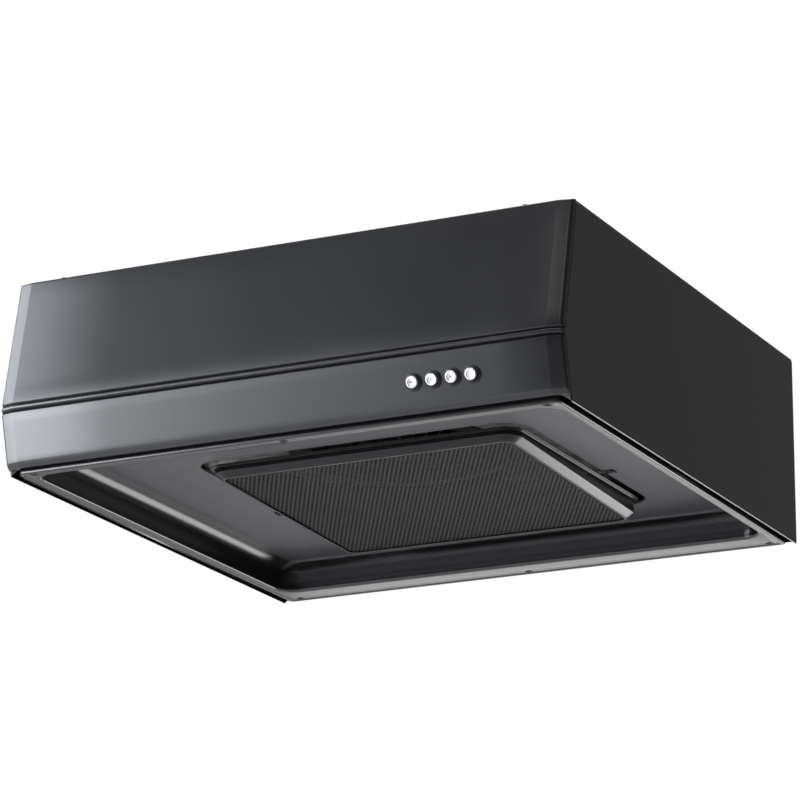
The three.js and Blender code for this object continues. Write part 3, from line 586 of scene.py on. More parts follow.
# ---- Casing panels ----
def pressed_panel(node, outline, holes, place, radius, depth, out):
    """A painted sheet with rounded edges and folded flanges. place maps (u, v, depth) into the hood."""
    edge = [(offset(outline, inset), back) for inset, back in arc(radius, 5)]
    edge.append((outline, depth))
    rings = [[place(p.x, p.y, back) for p in ring] for ring, back in edge]
    verts = [v for ring in rings for v in ring]
    faces = strips(rings)
    flat = [edge[0][0]] + holes
    faces += sheet_between(flat, len(verts))
    verts += [place(p.x, p.y, 0) for loop in flat for p in loop]
    made = piece(node + "_sheet", verts, faces, PAINT_BODY, "casing", [node], out=out)
    thicken(made, SHEET * 0.8)
    shading = made.modifiers.new("flat_shading", "WEIGHTED_NORMAL")
    shading.weight = 100
    shading.keep_sharp = True
    return made


HEM = 1.6  # depth of the folded edge at the bottom of a side panel
SIDE_FLANGE_Z = 9.2
SIDE_FLANGE = 13.5


def side_panel(side):
    node = "side_panel_right" if side > 0 else "side_panel_left"
    low, high = cad(node)
    seam = WRAP + 0.8
    corners = [
        (front_y(low.z) + seam, low.z, 1.5),
        (high.y, low.z, 1.5),
        (high.y, SIDE_FLANGE_Z, 0),
        (high.y, high.z, 2.5),
        (front_y(high.z) + seam, high.z, 2.5),
        (front_y(BEND_Z) + seam, BEND_Z, 6),
        (front_y(SIDE_FLANGE_Z) + seam, SIDE_FLANGE_Z, 0),
    ]

    def place(u, v, back):
        deep = min(back, HEM) if v < SIDE_FLANGE_Z - 1.5 else back
        return (side * (SIDE - deep), u, v)

    outline = rounded_outline(corners, 4)
    pressed_panel(node, outline, [], place, 1.4, SIDE_FLANGE, (side, 0, 0))
    bend = [(-1.2, 4 - SIDE_FLANGE_Z), (-1.2, -0.8), (-1.5, -0.2), (-2.2, 0), (-SIDE_FLANGE, 0)]
    path = shifted(bend, SIDE, SIDE_FLANGE_Z)
    rings = [[Vector((side * x, y, z)) for x, z in path] for y in (low.y + 40, high.y - 4)]
    made = skin(node + "_flange", rings, PAINT_BODY, "casing", closed=False, out=(0, 0, -1))
    thicken(made, SHEET * 0.8)


def circle(x, y, radius, steps=48):
    turns = [2 * math.pi * k / steps for k in range(steps)]
    return [Vector((x + radius * math.cos(t), y + radius * math.sin(t))) for t in turns]


COLLAR_X, COLLAR_Y, _ = middle("duct_collar")
COLLAR_R = 75
CORD_X, CORD_Y, _ = middle("cord_grommet")
CORD_HOLE_R = 8


def top_panel():
    low, high = cad("top_panel")
    outline = rectangle(low.x + 0.4, high.x - 0.4, low.y, high.y - 0.4, 1.0, 3)
    holes = [circle(COLLAR_X, COLLAR_Y, COLLAR_R + 1, 64), circle(CORD_X, CORD_Y, CORD_HOLE_R, 32)]

    def place(u, v, back):
        return (u, v, high.z - back)

    pressed_panel("top_panel", outline, holes, place, 0.9, 0.95, (0, 0, 1))


KEYHOLE_X = 200
KEYHOLE_Z = 158
KEYHOLE_HEAD_R = 6
KEYHOLE_SLOT_R = 3
KEYHOLE_RISE = 16


def keyhole(x, z):
    """A round hole with a narrow slot above it, anticlockwise."""
    head, slot = KEYHOLE_HEAD_R, KEYHOLE_SLOT_R
    meet = math.acos(slot / head)
    start, end = math.pi - meet, 2 * math.pi + meet
    lower = [start + (end - start) * k / 20 for k in range(21)]
    upper = [math.pi * k / 10 for k in range(11)]
    points = [(head * math.cos(t), head * math.sin(t)) for t in lower]
    points += [(slot * math.cos(t), KEYHOLE_RISE + slot * math.sin(t)) for t in upper]
    return [Vector((x + u, z + v)) for u, v in points]


def back_panel():
    low, high = cad("back_panel")
    outline = rectangle(low.x, high.x, low.z, high.z, 1.5, 3)
    holes = [keyhole(-KEYHOLE_X, KEYHOLE_Z), keyhole(KEYHOLE_X, KEYHOLE_Z)]

    def place(u, v, back):
        return (u, high.y - back, v)

    pressed_panel("back_panel", outline, holes, place, 1.2, 1.3, (0, 1, 0))


side_panel(-1)
side_panel(1)
top_panel()
back_panel()


# ---- Bottom pan ----
PAN_STEPS = 8


def pan_ring(base, inset, z):
    """The base rectangle drawn in by its own distance at the sides, the front and the rear."""
    side, front, rear = inset
    x, y0, y1, radius = base["x"], base["y0"], base["y1"], base["r"]
    ring = []
    for sx, sy, first in ((1, 1, 0), (-1, 1, 90), (-1, -1, 180), (1, -1, 270)):
        cx, cy = sx * (x - radius), (y1 - radius if sy > 0 else y0 + radius)
        for k in range(PAN_STEPS + 1):
            t = math.radians(first + 90 * k / PAN_STEPS)
            share = math.cos(t) ** 2
            away = radius - (side * share + (rear if sy > 0 else front) * (1 - share))
            height = z(sy, share) if callable(z) else z
            ring.append(Vector((cx + away * math.cos(t), cy + away * math.sin(t), height)))
    return ring


def opening_outline(grow):
    """The filter opening with its two notches, drawn out by a distance."""
    x, y0, y1, r = OPENING["x"], OPENING["y0"], OPENING["y1"], OPENING["r"]
    notch = x + NOTCH_REACH
    low, high, soft = NOTCH_Y - NOTCH_HALF, NOTCH_Y + NOTCH_HALF, 2.5
    right = [(x, low, soft), (notch, low, soft), (notch, high, soft), (x, high, soft)]
    left = [(-across, along, radius) for across, along, radius in reversed(right)]
    corners = [(-x, y0, r), (x, y0, r)] + right + [(x, y1, r), (-x, y1, r)] + left
    return offset(rounded_outline(corners, 6), -grow)


RIM_INSET = 5.8  # from the pan's outer edge to the flat of the rim
RIM_STEP = 0.75  # the rim runs this much above its outer bead
REAR_LEAN = 0.5  # how much the rear rim rises towards the wall, and dips towards the recess
COVE_SIDE = 18.0
COVE_REAR = 4.0
RIM_TURN = 3.0
# [inset at the sides and front, inset at the rear, height, how much lower at the sides]
WALL_STEPS = [(0.5, 0.6, 12, 0), (0.55, 1.3, 13, 0), (0.9, 1.6, 20, 5), (0.95, 2.3, 21, 5)]
CUP_R = 4.6


def raised_rear(z, lean):
    """A height that is changed by lean along the rear only."""
    return lambda sy, share: z + (lean * (1 - share) if sy > 0 else 0)


def rim_rings():
    """From the upturned outer edge over a bead to the flat of the rim."""
    outer = {"x": PAN_HIGH.x, "y0": PAN_LOW.y, "y1": PAN_HIGH.y, "r": 7}

    def edge_top(sy, share):
        return 5.2 if sy < 0 or share > 0.5 else 2.4

    rings = [pan_ring(outer, (0, 0, 0), edge_top)]
    for inset, rise in reversed(arc(1.8, 5)):
        rings.append(pan_ring(outer, (inset, inset, inset), raised_rear(rise, REAR_LEAN)))
    for side, front, rise in ((4.6, 1.9, 0), (5.2, 2.1, 0.4), (RIM_INSET, 2.3, RIM_STEP)):
        rings.append(pan_ring(outer, (side, front, side), raised_rear(rise, REAR_LEAN)))
    return rings


def recess_rings():
    """From the flat of the rim up the recess's wall and round its cove to the ceiling."""
    turn, front_turn = RIM_TURN, RIM_TURN / 2
    flat = raised_rear(RIM_STEP, -REAR_LEAN)
    rings = [pan_ring(RECESS, (-turn - 1, -front_turn - 0.5, -turn - 1), flat)]
    for inset, depth in arc(turn, 5):
        bend = raised_rear(RIM_STEP + depth, -REAR_LEAN)
        rings.append(pan_ring(RECESS, (-inset, -inset / 2, -inset), bend))
    for side, rear, high, dip in WALL_STEPS:
        rings.append(pan_ring(RECESS, (side, side, rear), lambda sy, share, z=high, dip=dip: z - dip * share))
    steps = 8
    for k in range(steps + 1):
        t = math.pi / 2 * k / steps
        across, lift = 1 - math.cos(t), math.sin(t)

        def rise(sy, share, lift=lift):
            return CEILING - (COVE_SIDE * share + COVE_REAR * (1 - share)) * (1 - lift)

        inset = (1.2 + COVE_SIDE * across, 1.2 + COVE_REAR * across, 2.6 + COVE_REAR * across)
        rings.append(pan_ring(RECESS, inset, rise))
    return rings


def rim_z(y):
    """Height of the rim's flat at the screws."""
    low, high = RECESS["y1"] + RIM_TURN + 1, PAN_HIGH.y - RIM_INSET
    share = max((y - low) / (high - low), 0)
    return RIM_STEP + (REAR_LEAN * (2 * share - 1) if share > 0 else 0)


def dimple_rings(x, y):
    """The dimple that takes a screw's head, with the screw's hole in its floor."""
    top = rim_z(y)
    steps = [(CUP_R, top), (CUP_R - 0.15, top + 0.15), (CUP_R - 0.25, 2.2), (CUP_R - 0.5, 2.5), (2.1, 2.5)]
    return [[Vector((p.x, p.y, z)) for p in circle(x, y, radius, 24)] for radius, z in steps]


def opening_rings():
    """The turned-up lip of the filter opening, from the ceiling up."""
    levels = [(inset, CEILING + depth) for inset, depth in arc(2.0, 4)]
    levels.append((0, CEILING + 4))
    return [[Vector((p.x, p.y, z)) for p in opening_outline(grow)] for grow, z in levels]


def bottom_pan():
    rim, recess, lip = rim_rings(), recess_rings(), opening_rings()
    pan_screws = sorted(node for node in frame["nodes"] if node.startswith("pan_screw"))
    dimples = [dimple_rings(*middle(node)[:2]) for node in pan_screws]
    verts, faces = [], []
    for rings in [rim, recess, lip] + dimples:
        start = len(verts)
        verts += [v for ring in rings for v in ring]
        faces += [tuple(start + i for i in quad) for quad in strips(rings)]
    flats = [[rim[-1], recess[0]] + [rings[0] for rings in dimples], [recess[-1], lip[0]]]
    for loops in flats:
        faces += sheet_between(loops, len(verts))
        verts += [v for loop in loops for v in loop]
    made = piece("bottom_pan_sheet", verts, faces, PAINT_PAN, "casing", ["bottom_pan"], 38, (0, 0, -1))
    return apply_modifiers(thicken(made, SHEET * 0.8))


bottom_pan()


# ---- Screws ----
THREAD_PITCH = 0.9


def screw(name, arm, head_r, head_high, shank_r, length, material):
    """A pan-head screw; its frame's +Z runs down the shank from the head's crown."""
    turns = [math.pi / 2 * k / 6 for k in range(7)]
    loop = [(head_r * math.sin(t), head_high * (1 - math.cos(t)) * 0.9) for t in turns]
    loop += [(head_r, head_high), (shank_r, head_high)]
    for k in range(int((length - head_high - 1) / THREAD_PITCH)):
        base = head_high + 0.6 + k * THREAD_PITCH
        loop += [(shank_r * 0.8, base), (shank_r, base + THREAD_PITCH / 2)]
    loop += [(shank_r * 0.6, length - 0.3), (0, length)]
    made = turned(name + "_turned", loop, material, "casing", [name], 32, arm)
    arms = []
    for turn in (0, math.pi / 2):
        half = Matrix.Rotation(turn, 4, "Z")
        x, y, top, low = head_r * 0.62, 0.5, -1, head_high * 0.75
        corners = [(-x, -y), (x, -y), (x, y), (-x, y)]
        verts = [arm @ half @ Vector((u, v, h)) for h in (top, low) for u, v in corners]
        faces = [(0, 1, 2, 3), (4, 5, 6, 7), (0, 1, 5, 4), (1, 2, 6, 5), (2, 3, 7, 6), (3, 0, 4, 7)]
        arms.append(piece("cutter", verts, faces, STEEL, "casing"))
    return cut(made, *arms)


def screws():
    for node in sorted(node for node in frame["nodes"] if "screw" in node):
        low, high = cad(node)
        x, y, _ = middle(node)
        if node.startswith("pan_screw"):
            screw(node, at(x, y, low.z), 4.0, 1.3, 1.8, high.z - low.z, BLACK_STEEL)
        else:
            screw(node, at(x, y, high.z, flip=True), 3.4, 1.6, 1.6, high.z - low.z, STEEL)


screws()


# ---- Filter ----
def tray_z(y):
    share = (y - TRAY["y0"]) / (TRAY["y1"] - TRAY["y0"])
    return TRAY_FRONT_Z + (TRAY_REAR_Z - TRAY_FRONT_Z) * share


def filter_frame():
    """A flange, upright walls, a slope and a narrow border round the perforated sheet."""
    outline = rectangle(-TRAY["x"], TRAY["x"], TRAY["y0"], TRAY["y1"], TRAY["r"], 9)
    fixed = [(-FLANGE_WIDTH, 35.4), (-FLANGE_WIDTH, 35.0)]
    fixed += [(inset - FLANGE_WIDTH, 34.6 + rise) for inset, rise in reversed(arc(0.4, 3))]
    bend = 0.9
    for k in range(5):
        t = math.pi / 2 * k / 4
        fixed.append((bend * (math.sin(t) - 1), 34.6 - bend * (1 - math.cos(t))))
    slope = SLOPE_HIGH / SLOPE_WIDE
    soft = 0.5
    sloping = [(0, SLOPE_HIGH + soft), (0.12, SLOPE_HIGH - 0.1), (soft, SLOPE_HIGH - soft * slope)]
    sloping += [(SLOPE_WIDE - soft, soft * slope), (SLOPE_WIDE, 0.08), (SLOPE_WIDE + soft, 0)]
    sloping += [(WINDOW_INSET - 0.4, 0), (WINDOW_INSET - 0.1, 0.1), (WINDOW_INSET, 0.4)]
    levels = [(inset, lambda y, z=z: z) for inset, z in fixed]
    levels += [(inset, lambda y, rise=rise: tray_z(y) + rise) for inset, rise in sloping]
    rings = []
    for inset, height in levels:
        ring = offset(outline, inset)
        rings.append([Vector((p.x, p.y, height(p.y))) for p in ring])
    made = skin("filter_tray", rings, PAINT_FILTER, "filter", ["filter_frame"], sharp=40, out=(0, 0, -1))
    return thicken(made, 0.6)


def in_window(x, y, radius):
    """Whether a cell's centre lies within the sheet's rounded corners."""
    across = max(abs(x) - (WINDOW["x"] - radius), 0)
    along = max(WINDOW["y0"] + radius - y, y - (WINDOW["y1"] - radius), 0)
    return math.hypot(across, along) < radius


def filter_mesh():
    """A perforated sheet: hexagonal cells, each with a round hole, on a sloping plane."""
    x, y0, y1 = WINDOW["x"], WINDOW["y0"], WINDOW["y1"]
    row_step = HOLE_PITCH * math.sqrt(3) / 2
    rows, columns = int((y1 - y0) / row_step), int(2 * x / HOLE_PITCH)
    cell_r = HOLE_PITCH / math.sqrt(3)
    verts, faces, known = [], [], {}

    def corner(px, py):
        key = (round(px * 50), round(py * 50))
        if key not in known:
            known[key] = len(verts)
            verts.append(Vector((px, py, tray_z(py) + 1.1)))
        return known[key]

    for row in range(rows):
        cy = y0 + (row + 0.5) * (y1 - y0) / rows
        stagger = HOLE_PITCH / 4 if row % 2 else -HOLE_PITCH / 4
        for column in range(columns):
            cx = (column - (columns - 1) / 2) * HOLE_PITCH + stagger
            if not in_window(cx, cy, WINDOW_R):
                continue
            rim, hole = [], []
            for k in range(12):
                t = math.radians(30 * k)
                reach = cell_r if k % 2 else HOLE_PITCH / 2
                rim.append(corner(cx + reach * math.cos(t), cy + reach * math.sin(t)))
                hole.append(corner(cx + HOLE_R * math.cos(t), cy + HOLE_R * math.sin(t)))
            for k in range(12):
                j = (k + 1) % 12
                faces.append((rim[k], rim[j], hole[j], hole[k]))
    made = piece("filter_perforated_sheet", verts, faces, PAINT_MESH, "filter", ["filter_mesh"],
                 out=(0, 0, -1))
    return thicken(made, 0.5)


def filter_tab(node, side):
    """A bent finger strip: a foot on the flange and a rounded lip in the notch."""
    low, high = cad(node)
    body = "filter" if side < 0 else "filter_catch"
    start = low.x if side > 0 else -high.x
    end = high.x if side > 0 else HOOK_X
    foot = 36.2
    bend = [(end - 2.6, foot), (end - 1.4, foot - 0.5), (end - 0.7, foot - 1.6)]
    path = [(start, foot)] + bend + [(end - 0.5, 33.6)]
    rings = [[Vector((side * x, y, z)) for x, z in path] for y in (low.y, high.y)]
    made = skin(node + "_strip", rings, PAINT_FILTER, body, [node], False, out=(0, 0, 1))
    thicken(made, 0.9, 0)
    return soften(made, 0.25)


def soften(made, width, segments=2, angle=40):
    """Rounds the sharp edges a little."""
    bevel = made.modifiers.new("soft_edges", "BEVEL")
    bevel.width = width * MM
    bevel.segments = segments
    bevel.limit_method = "ANGLE"
    bevel.angle_limit = math.radians(angle)
    bevel.harden_normals = True
    return made


def hook_tongue():
    """The part of the left tab that rises through the notch and rests on the pan's lip."""
    low, _ = cad("filter_hook_left")
    x = 0.5 - HOOK_X
    path = [(x, 35.8), (x, 39.0), (x - 0.3, 39.5), (x - 0.9, 39.8), (low.x, 39.8)]
    rings = [[Vector((x, y, z)) for x, z in path] for y in (NOTCH_Y - 2.5, NOTCH_Y + 2.5)]
    made = skin("filter_hook_tongue", rings, PAINT_FILTER, "filter", closed=False, out=(1, 0, 0))
    thicken(made, 0.9, 0)
    return soften(made, 0.2)


filter_frame()
filter_mesh()
filter_tab("filter_hook_left", -1)
filter_tab("filter_latch", 1)
hook_tongue()


# ---- Fan, motor and inlet ----
FAN_LOW, FAN_HIGH = cad("fan_wheel")
FAN_X, FAN_Y, _ = middle("fan_wheel")
FAN_R = (FAN_HIGH.x - FAN_LOW.x) / 2
SHAFT_R = 4
HUB_BORE_R = 4.4
BLADES = 40
BLADE_CHORD = 19
BLADE_STEPS = 6
BLADE_HALF = 0.45
BLADE_SWEEP = 0.16  # angle in radians that a blade runs forward from its foot to its tip


def blade_outline():
    """A forward-curved blade, seen along the fan's axis."""
    front, back = [], []
    for k in range(BLADE_STEPS + 1):
        share = k / BLADE_STEPS
        r = FAN_R - 1.5 - BLADE_CHORD * (1 - share)
        sweep = BLADE_SWEEP * share * share
        here = Vector((r * math.cos(sweep), r * math.sin(sweep), 0))
        across = Vector((-math.sin(sweep + 0.3), math.cos(sweep + 0.3), 0)) * BLADE_HALF
        front.append(here + across)
        back.append(here - across)
    return front + back[::-1]


def fan_wheel():
    """A drum of forward-curved blades between a back plate and a front ring."""
    arm = at(FAN_X, FAN_Y, 0)
    z0, z1 = FAN_LOW.z, FAN_HIGH.z
    hub = [(HUB_BORE_R, -18), (12, -18), (13, -17), (13, -4), (16, -1.6)]
    bead = [(-26, -1.6), (-24, -3.2), (-20, -3.2), (-18, -1.6), (0, -1.6), (0, 0), (-17, 0), (-19.5, -1.8)]
    bead += [(-24.5, -1.8), (-27, 0)]
    plate = shifted(hub, 0, z1) + shifted(bead, FAN_R, z1) + [(HUB_BORE_R, z1)]
    ring = [(-9, 0.6), (-8.4, 0), (-0.6, 0), (0, 0.6), (0, 3), (-0.8, 3), (-1.2, 1.2), (-8.4, 1.2), (-9, 1.4)]
    verts, faces = turned_mesh(plate, 72, arm)
    more, more_faces = turned_mesh(shifted(ring, FAN_R, z0), 72, arm)
    faces += [tuple(len(verts) + i for i in face) for face in more_faces]
    verts = verts + more
    outline = blade_outline()
    count = len(outline)
    for b in range(BLADES):
        spin = Matrix.Rotation(2 * math.pi * b / BLADES, 4, "Z")
        rings = [[arm @ spin @ Vector((p.x, p.y, z)) for p in outline] for z in (z0 + 0.8, z1 - 1.2)]
        start = len(verts)
        verts += rings[0] + rings[1]
        faces += [tuple(start + i for i in quad) for quad in strips(rings)]
        faces += [tuple(start + i for i in range(count)), tuple(start + count + i for i in range(count))]
    return piece("fan_wheel_drum", verts, faces, ZINC, "fan_rotor", ["fan_wheel"], sharp=40)


def bell_mouth():
    """The flared inlet ring under the wheel, with a flat flange."""
    low, high = cad("bell_mouth")
    flange = 18
    inlet = (high.x - low.x) / 2 - flange
    throat = inlet - 5.7
    turns = [math.radians(15 * k) for k in range(1, 7)]
    inside = [(throat, high.z), (throat, low.z + 4)]
    inside += [(throat + 5 * (1 - math.cos(t)), low.z + 4 - 4 * math.sin(t)) for t in turns]
    lip = shifted([(flange - 0.4, 0), (flange, 0.4), (flange, 1.2)], inlet, low.z)
    behind = shifted([(-0.2, 1.2), (-3, 3.2), (-4.5, 6.5)], inlet, low.z) + [(inlet - 4.5, high.z)]
    loop = inside + lip + behind
    return turned("bell_mouth_ring", loop, BLACK_PLASTIC, "casing", ["bell_mouth"], 72, at(FAN_X, FAN_Y, 0))


def fan_nut():
    low, high = cad("fan_nut")
    arm = at(FAN_X, FAN_Y, 0)
    loop = [(HUB_BORE_R, high.z), (10, high.z), (11, high.z - 1)]
    loop += shifted([(11, 1.5), (9.8, 0.3), (9, 0), (HUB_BORE_R, 0)], 0, low.z)
    made = turned("fan_nut_knob", loop, BLACK_PLASTIC, "fan_rotor", ["fan_nut"], 40, arm)
    wing = rectangle(-17, 17, -2.1, 2.1, 2.0, 4)
    soft = offset(wing, 0.5)
    levels = [(soft, low.z), (wing, low.z + 0.5), (wing, high.z - 2.5), (soft, high.z - 2)]
    rings = [[Vector((FAN_X + p.x, FAN_Y + p.y, z)) for p in ring] for ring, z in levels]
    wings = skin("fan_nut_wings", rings, BLACK_PLASTIC, "fan_rotor", lids=(0, 3))
    cut(wings, cylinder_cutter(10.5, low.z - 2, high.z + 2, arm))
    return made


def motor():
    arm = at(FAN_X, FAN_Y, 0)
    low, high = cad("motor_body")
    flange = 4
    bore = SHAFT_R + 0.5
    r = (high.x - low.x) / 2 - flange
    lower = [(-4, 0), (-1.2, 1.2), (0, 4), (0, 11.4), (flange, 12), (flange, 14), (0, 14.6)]
    loop = [(bore, low.z)] + shifted(lower, r, low.z) + shifted([(0, -6), (-2, -2), (-8, 0)], r, high.z)
    loop += [(0, high.z), (0, high.z - 9), (bore, high.z - 9)]
    turned("motor_can", loop, STEEL, "casing", ["motor_body"], 64, arm)
    low, high = cad("motor_shaft")
    tip = 0.8
    loop = [(0, low.z), (SHAFT_R - tip, low.z), (SHAFT_R, low.z + tip)]
    loop += [(SHAFT_R, high.z - tip), (SHAFT_R - tip, high.z), (0, high.z)]
    turned("motor_shaft_bar", loop, STEEL, "fan_rotor", ["motor_shaft"], 32, arm)


fan_wheel()
bell_mouth()
fan_nut()
motor()


# ---- Exhaust ----
def collar():
    low, high = cad("duct_collar")
    arm = at(COLLAR_X, COLLAR_Y, 0)
    r = COLLAR_R
    turns = [math.radians(22.5 * k) for k in range(9)]
    bead = [(1.4 * math.sin(t), -10 - 1.8 * math.cos(t)) for t in turns]
    flange = [(-1, 1), (-0.4, 0.3), (0.6, 0), (12.6, 0), (13, 0.5), (12.6, 1), (1.2, 1), (0, 2.2)]
    edge = [(0, -0.3), (-0.3, 0), (-0.7, 0), (-1, -0.3)]
    loop = shifted(flange, r, low.z) + shifted(bead + edge, r, high.z)
    turned("duct_collar_ring", loop, ZINC, "casing", ["duct_collar"], 96, arm)
    low, high = cad("collar_gasket")
    loop = shifted([(2, 0.4), (2.4, 0), (12.6, 0), (13, 0.4)], r, low.z)
    loop += shifted([(13, -0.4), (12.6, 0), (2.4, 0), (2, -0.4)], r, high.z)
    turned("collar_gasket_ring", loop, FOAM, "casing", ["collar_gasket"], 72, arm)


def damper_flap(node, side, body, knuckles, gaps):
    """Half of a round flap with two knuckles on the pin, and clearances for the other half's."""
    low, high = cad(node)
    z = middle(node)[2]
    r = (high.x - low.x) / 2
    start = math.asin(3.5 / r)
    turns = [start + (math.pi - 2 * start) * k / 40 for k in range(41)]
    rim = [Vector((r * math.cos(t), side * r * math.sin(t))) for t in turns]
    edge = []
    for x in sorted([e * g for g in gaps for e in (-1, 1)]):
        edge += [(x - 7, 3.5), (x - 7, 4.7), (x + 7, 4.7), (x + 7, 3.5)]
    outline = rim + [Vector((x, side * y)) for x, y in edge]
    if side < 0:
        outline.reverse()
    arm = at(COLLAR_X, COLLAR_Y, z)
    rings = [[arm @ Vector((p.x, p.y, h)) for p in outline] for h in (-0.4, 0.4)]
    faces = strips(rings) + sheet_between([outline], 0) + sheet_between([outline], len(outline))
    piece(node + "_plate", rings[0] + rings[1], faces, ZINC, body, [node])
    for x in [e * k for k in knuckles for e in (-1, 1)]:
        loop = [(2.35, -5.8), (3.1, -6), (3.4, -5.7), (3.4, 5.7), (3.1, 6), (2.35, 5.8)]
        turned(f"{node}_knuckle_{int(x)}", loop, ZINC, body, (), 24, at(COLLAR_X + x, COLLAR_Y, z, "X"))


def damper():
    low, high = cad("damper_pin")
    z = middle("damper_pin")[2]
    half = (high.x - low.x) / 2
    loop = [(0, -half), (1.6, -half), (2, -half + 0.4), (2, half - 0.4), (1.6, half), (0, half)]
    turned("damper_pin_rod", loop, STEEL, "casing", ["damper_pin"], 24, at(COLLAR_X, COLLAR_Y, z, "X"))
    damper_flap("damper_flap_front", -1, "damper_front", [48], [24])
    damper_flap("damper_flap_rear", 1, "damper_rear", [24], [48])


collar()
damper()


# ---- Lamp ----
def lamp():
    low, high = cad("lamp_socket")
    _, y, z = middle("lamp_socket")
    arm = at(low.x, y, z, "X")
    length = high.x - low.x
    loop = [(9, 0), (11, 0), (12, 1)]
    loop += shifted([(12, -6), (11.4, -5), (11.4, -1), (10.6, 0), (9, 0)], 0, length)
    turned("lamp_socket_shell", loop, WHITE_PLASTIC, "casing", ["lamp_socket"], 40, arm)
    low, high = cad("lamp_bulb")
    arm = at(low.x, y, z, "X")
    thread = [(8.5, 3), (8.2, 5), (8.5, 7), (8.2, 9), (8.5, 11), (8.2, 13)]
    bulge = [(8.5, 20), (9.6, 26), (11.4, 32), (12.9, 38), (13.5, 43), (12.9, 49), (10.8, 56), (7.4, 62)]
    loop = [(0, 0), (4, 0.2), (8, 1.4)] + thread + bulge + [(3.6, 66.5), (0, 68)]
    turned("lamp_bulb_envelope", loop, GLASS, "casing", ["lamp_bulb"], 40, arm, sharp=60)


lamp()


# ---- Cord and plug ----
CORD_PATH = [
    (0, 0, 184), (0, 0, 195), (0, 0, 208), (14, -20, 216), (40, -60, 206),
    (20, -150, 204.2), (70, -230, 204.2), (150, -200, 204.2), (158, -130, 206),
]
CORD_R = 3.5


def spline_point(points, t):
    """Catmull-Rom through the points, t from 0 to 1."""
    spans = len(points) - 1
    i = min(int(t * spans), spans - 1)
    s = t * spans - i
    p1, p2 = points[i], points[i + 1]
    p0 = points[i - 1] if i > 0 else 2 * p1 - p2
    p3 = points[i + 2] if i + 2 <= spans else 2 * p2 - p1
    square = (2 * p0 - 5 * p1 + 4 * p2 - p3) * s ** 2
    cube = (3 * p1 - p0 - 3 * p2 + p3) * s ** 3
    return 0.5 * (2 * p1 + (p2 - p0) * s + square + cube)


def tube_rings(points, radius, steps, sides):
    """The rings of a round tube carried along a path."""
    path = [spline_point(points, k / steps) for k in range(steps + 1)]
    rings = []
    side = Vector((1, 0, 0))
    for k, here in enumerate(path):
        along = (path[min(k + 1, steps)] - path[max(k - 1, 0)]).normalized()
        side = (side - along * side.dot(along)).normalized()
        other = along.cross(side)
        turns = [2 * math.pi * i / sides for i in range(sides)]
        rings.append([here + (side * math.cos(t) + other * math.sin(t)) * radius for t in turns])
    return rings


def cord():
    points = [Vector((CORD_X + x, CORD_Y + y, z)) for x, y, z in CORD_PATH]
    steps = 90
    rings = tube_rings(points, CORD_R, steps, 16)
    skin("power_cord_sheath", rings, RUBBER, "casing", ["power_cord"], lids=(0, steps))
    low, high = cad("cord_grommet")
    r = (high.x - low.x) / 2
    below = [(r - 0.6, low.z), (r, low.z + 0.6), (r, TOP - 1.4), (r - 0.4, TOP - 1.25), (7.7, TOP - 1.25)]
    above = [(7.7, TOP + 0.3), (r - 0.3, TOP + 0.3), (r, TOP + 0.9), (r - 0.8, TOP + 2.6)]
    bore = [(r - 3, high.z - 0.3), (6, high.z), (5, high.z - 0.5)]
    loop = [(5, low.z)] + below + above + bore
    turned("cord_grommet_ring", loop, RUBBER, "casing", ["cord_grommet"], 40, at(CORD_X, CORD_Y, 0))


def plug():
    low, _ = cad("power_plug")
    x, _, z = middle("power_plug")
    corners = [(-8, 0, 1.5), (8, 0, 1.5), (8, 13, 1.5), (12, 15, 2), (12, 26, 1), (-12, 26, 1)]
    outline = rounded_outline(corners + [(-12, 15, 2), (-8, 13, 1.5)], 4)
    soft, half = 2.2, 7
    levels = [(inset, depth - half) for inset, depth in arc(soft, 5)]
    levels += [(inset, half - depth) for inset, depth in reversed(arc(soft, 5))]
    rings = [[Vector((x + p.x, low.y + p.y, z + h)) for p in offset(outline, inset)] for inset, h in levels]
    lid = [offset(outline, soft)]
    faces = strips(rings) + sheet_between(lid, 0) + sheet_between(lid, (len(rings) - 1) * len(outline))
    verts = [v for ring in rings for v in ring]
    piece("power_plug_body", verts, faces, BLACK_PLASTIC, "casing", ["power_plug"])
    for side in (-1, 1):
        blade = rounded_outline([(-3.2, 0, 0), (3.2, 0, 0), (3.2, 17.4, 1.2), (-3.2, 17.4, 1.2)], 3)
        turn = Matrix.Translation((x + side * 6.3, low.y + 25.5, z)) @ Matrix.Rotation(math.pi / 2, 4, "Y")
        raised(f"plug_blade_{'left' if side < 0 else 'right'}", blade, -0.75, 0.75, STEEL, "casing", turn)


cord()
plug()


# ---- CAD nodes that are shown as they are, with a finer edge and their own material ----
SHEET_METAL = ["front_rail_upper", "front_rail_lower", "scroll_casing", "scroll_inlet_plate"]
SHEET_METAL += ["motor_plate", "exhaust_box", "lamp_bracket"]
KEPT = dict.fromkeys(SHEET_METAL, ZINC)
KEPT.update({"motor_capacitor": BLACK_PLASTIC, "terminal_block": WHITE_PLASTIC})
KEPT.update({"circuit_board": BOARD, "switch_box": GREY_PLASTIC})
KEPT.update({"tact_switch_" + name: GREY_PLASTIC for name in BUTTONS})


def keep(node, material):
    shown = frame["nodes"][node]
    shown.data.materials.clear()
    shown.data.materials.append(material)
    soften(shown, 0.25, 2, 50)


for node_name, node_material in KEPT.items():
    keep(node_name, node_material)


# ---- Stage: a pale floor, soft lights and the camera ----
FLOOR_Z = -1.45  # lengths of the stage are in metres
FLOOR_HALF = 14
FILL = 0.15  # strength of the even light from all round
CAMERA_PLACE = (1.744, -3.560, -1.071)
CAMERA_TURN = (26.243, 16.644, 0.138)  # azimuth, elevation and roll in degrees
LENS = 184.03
SENSOR = 36


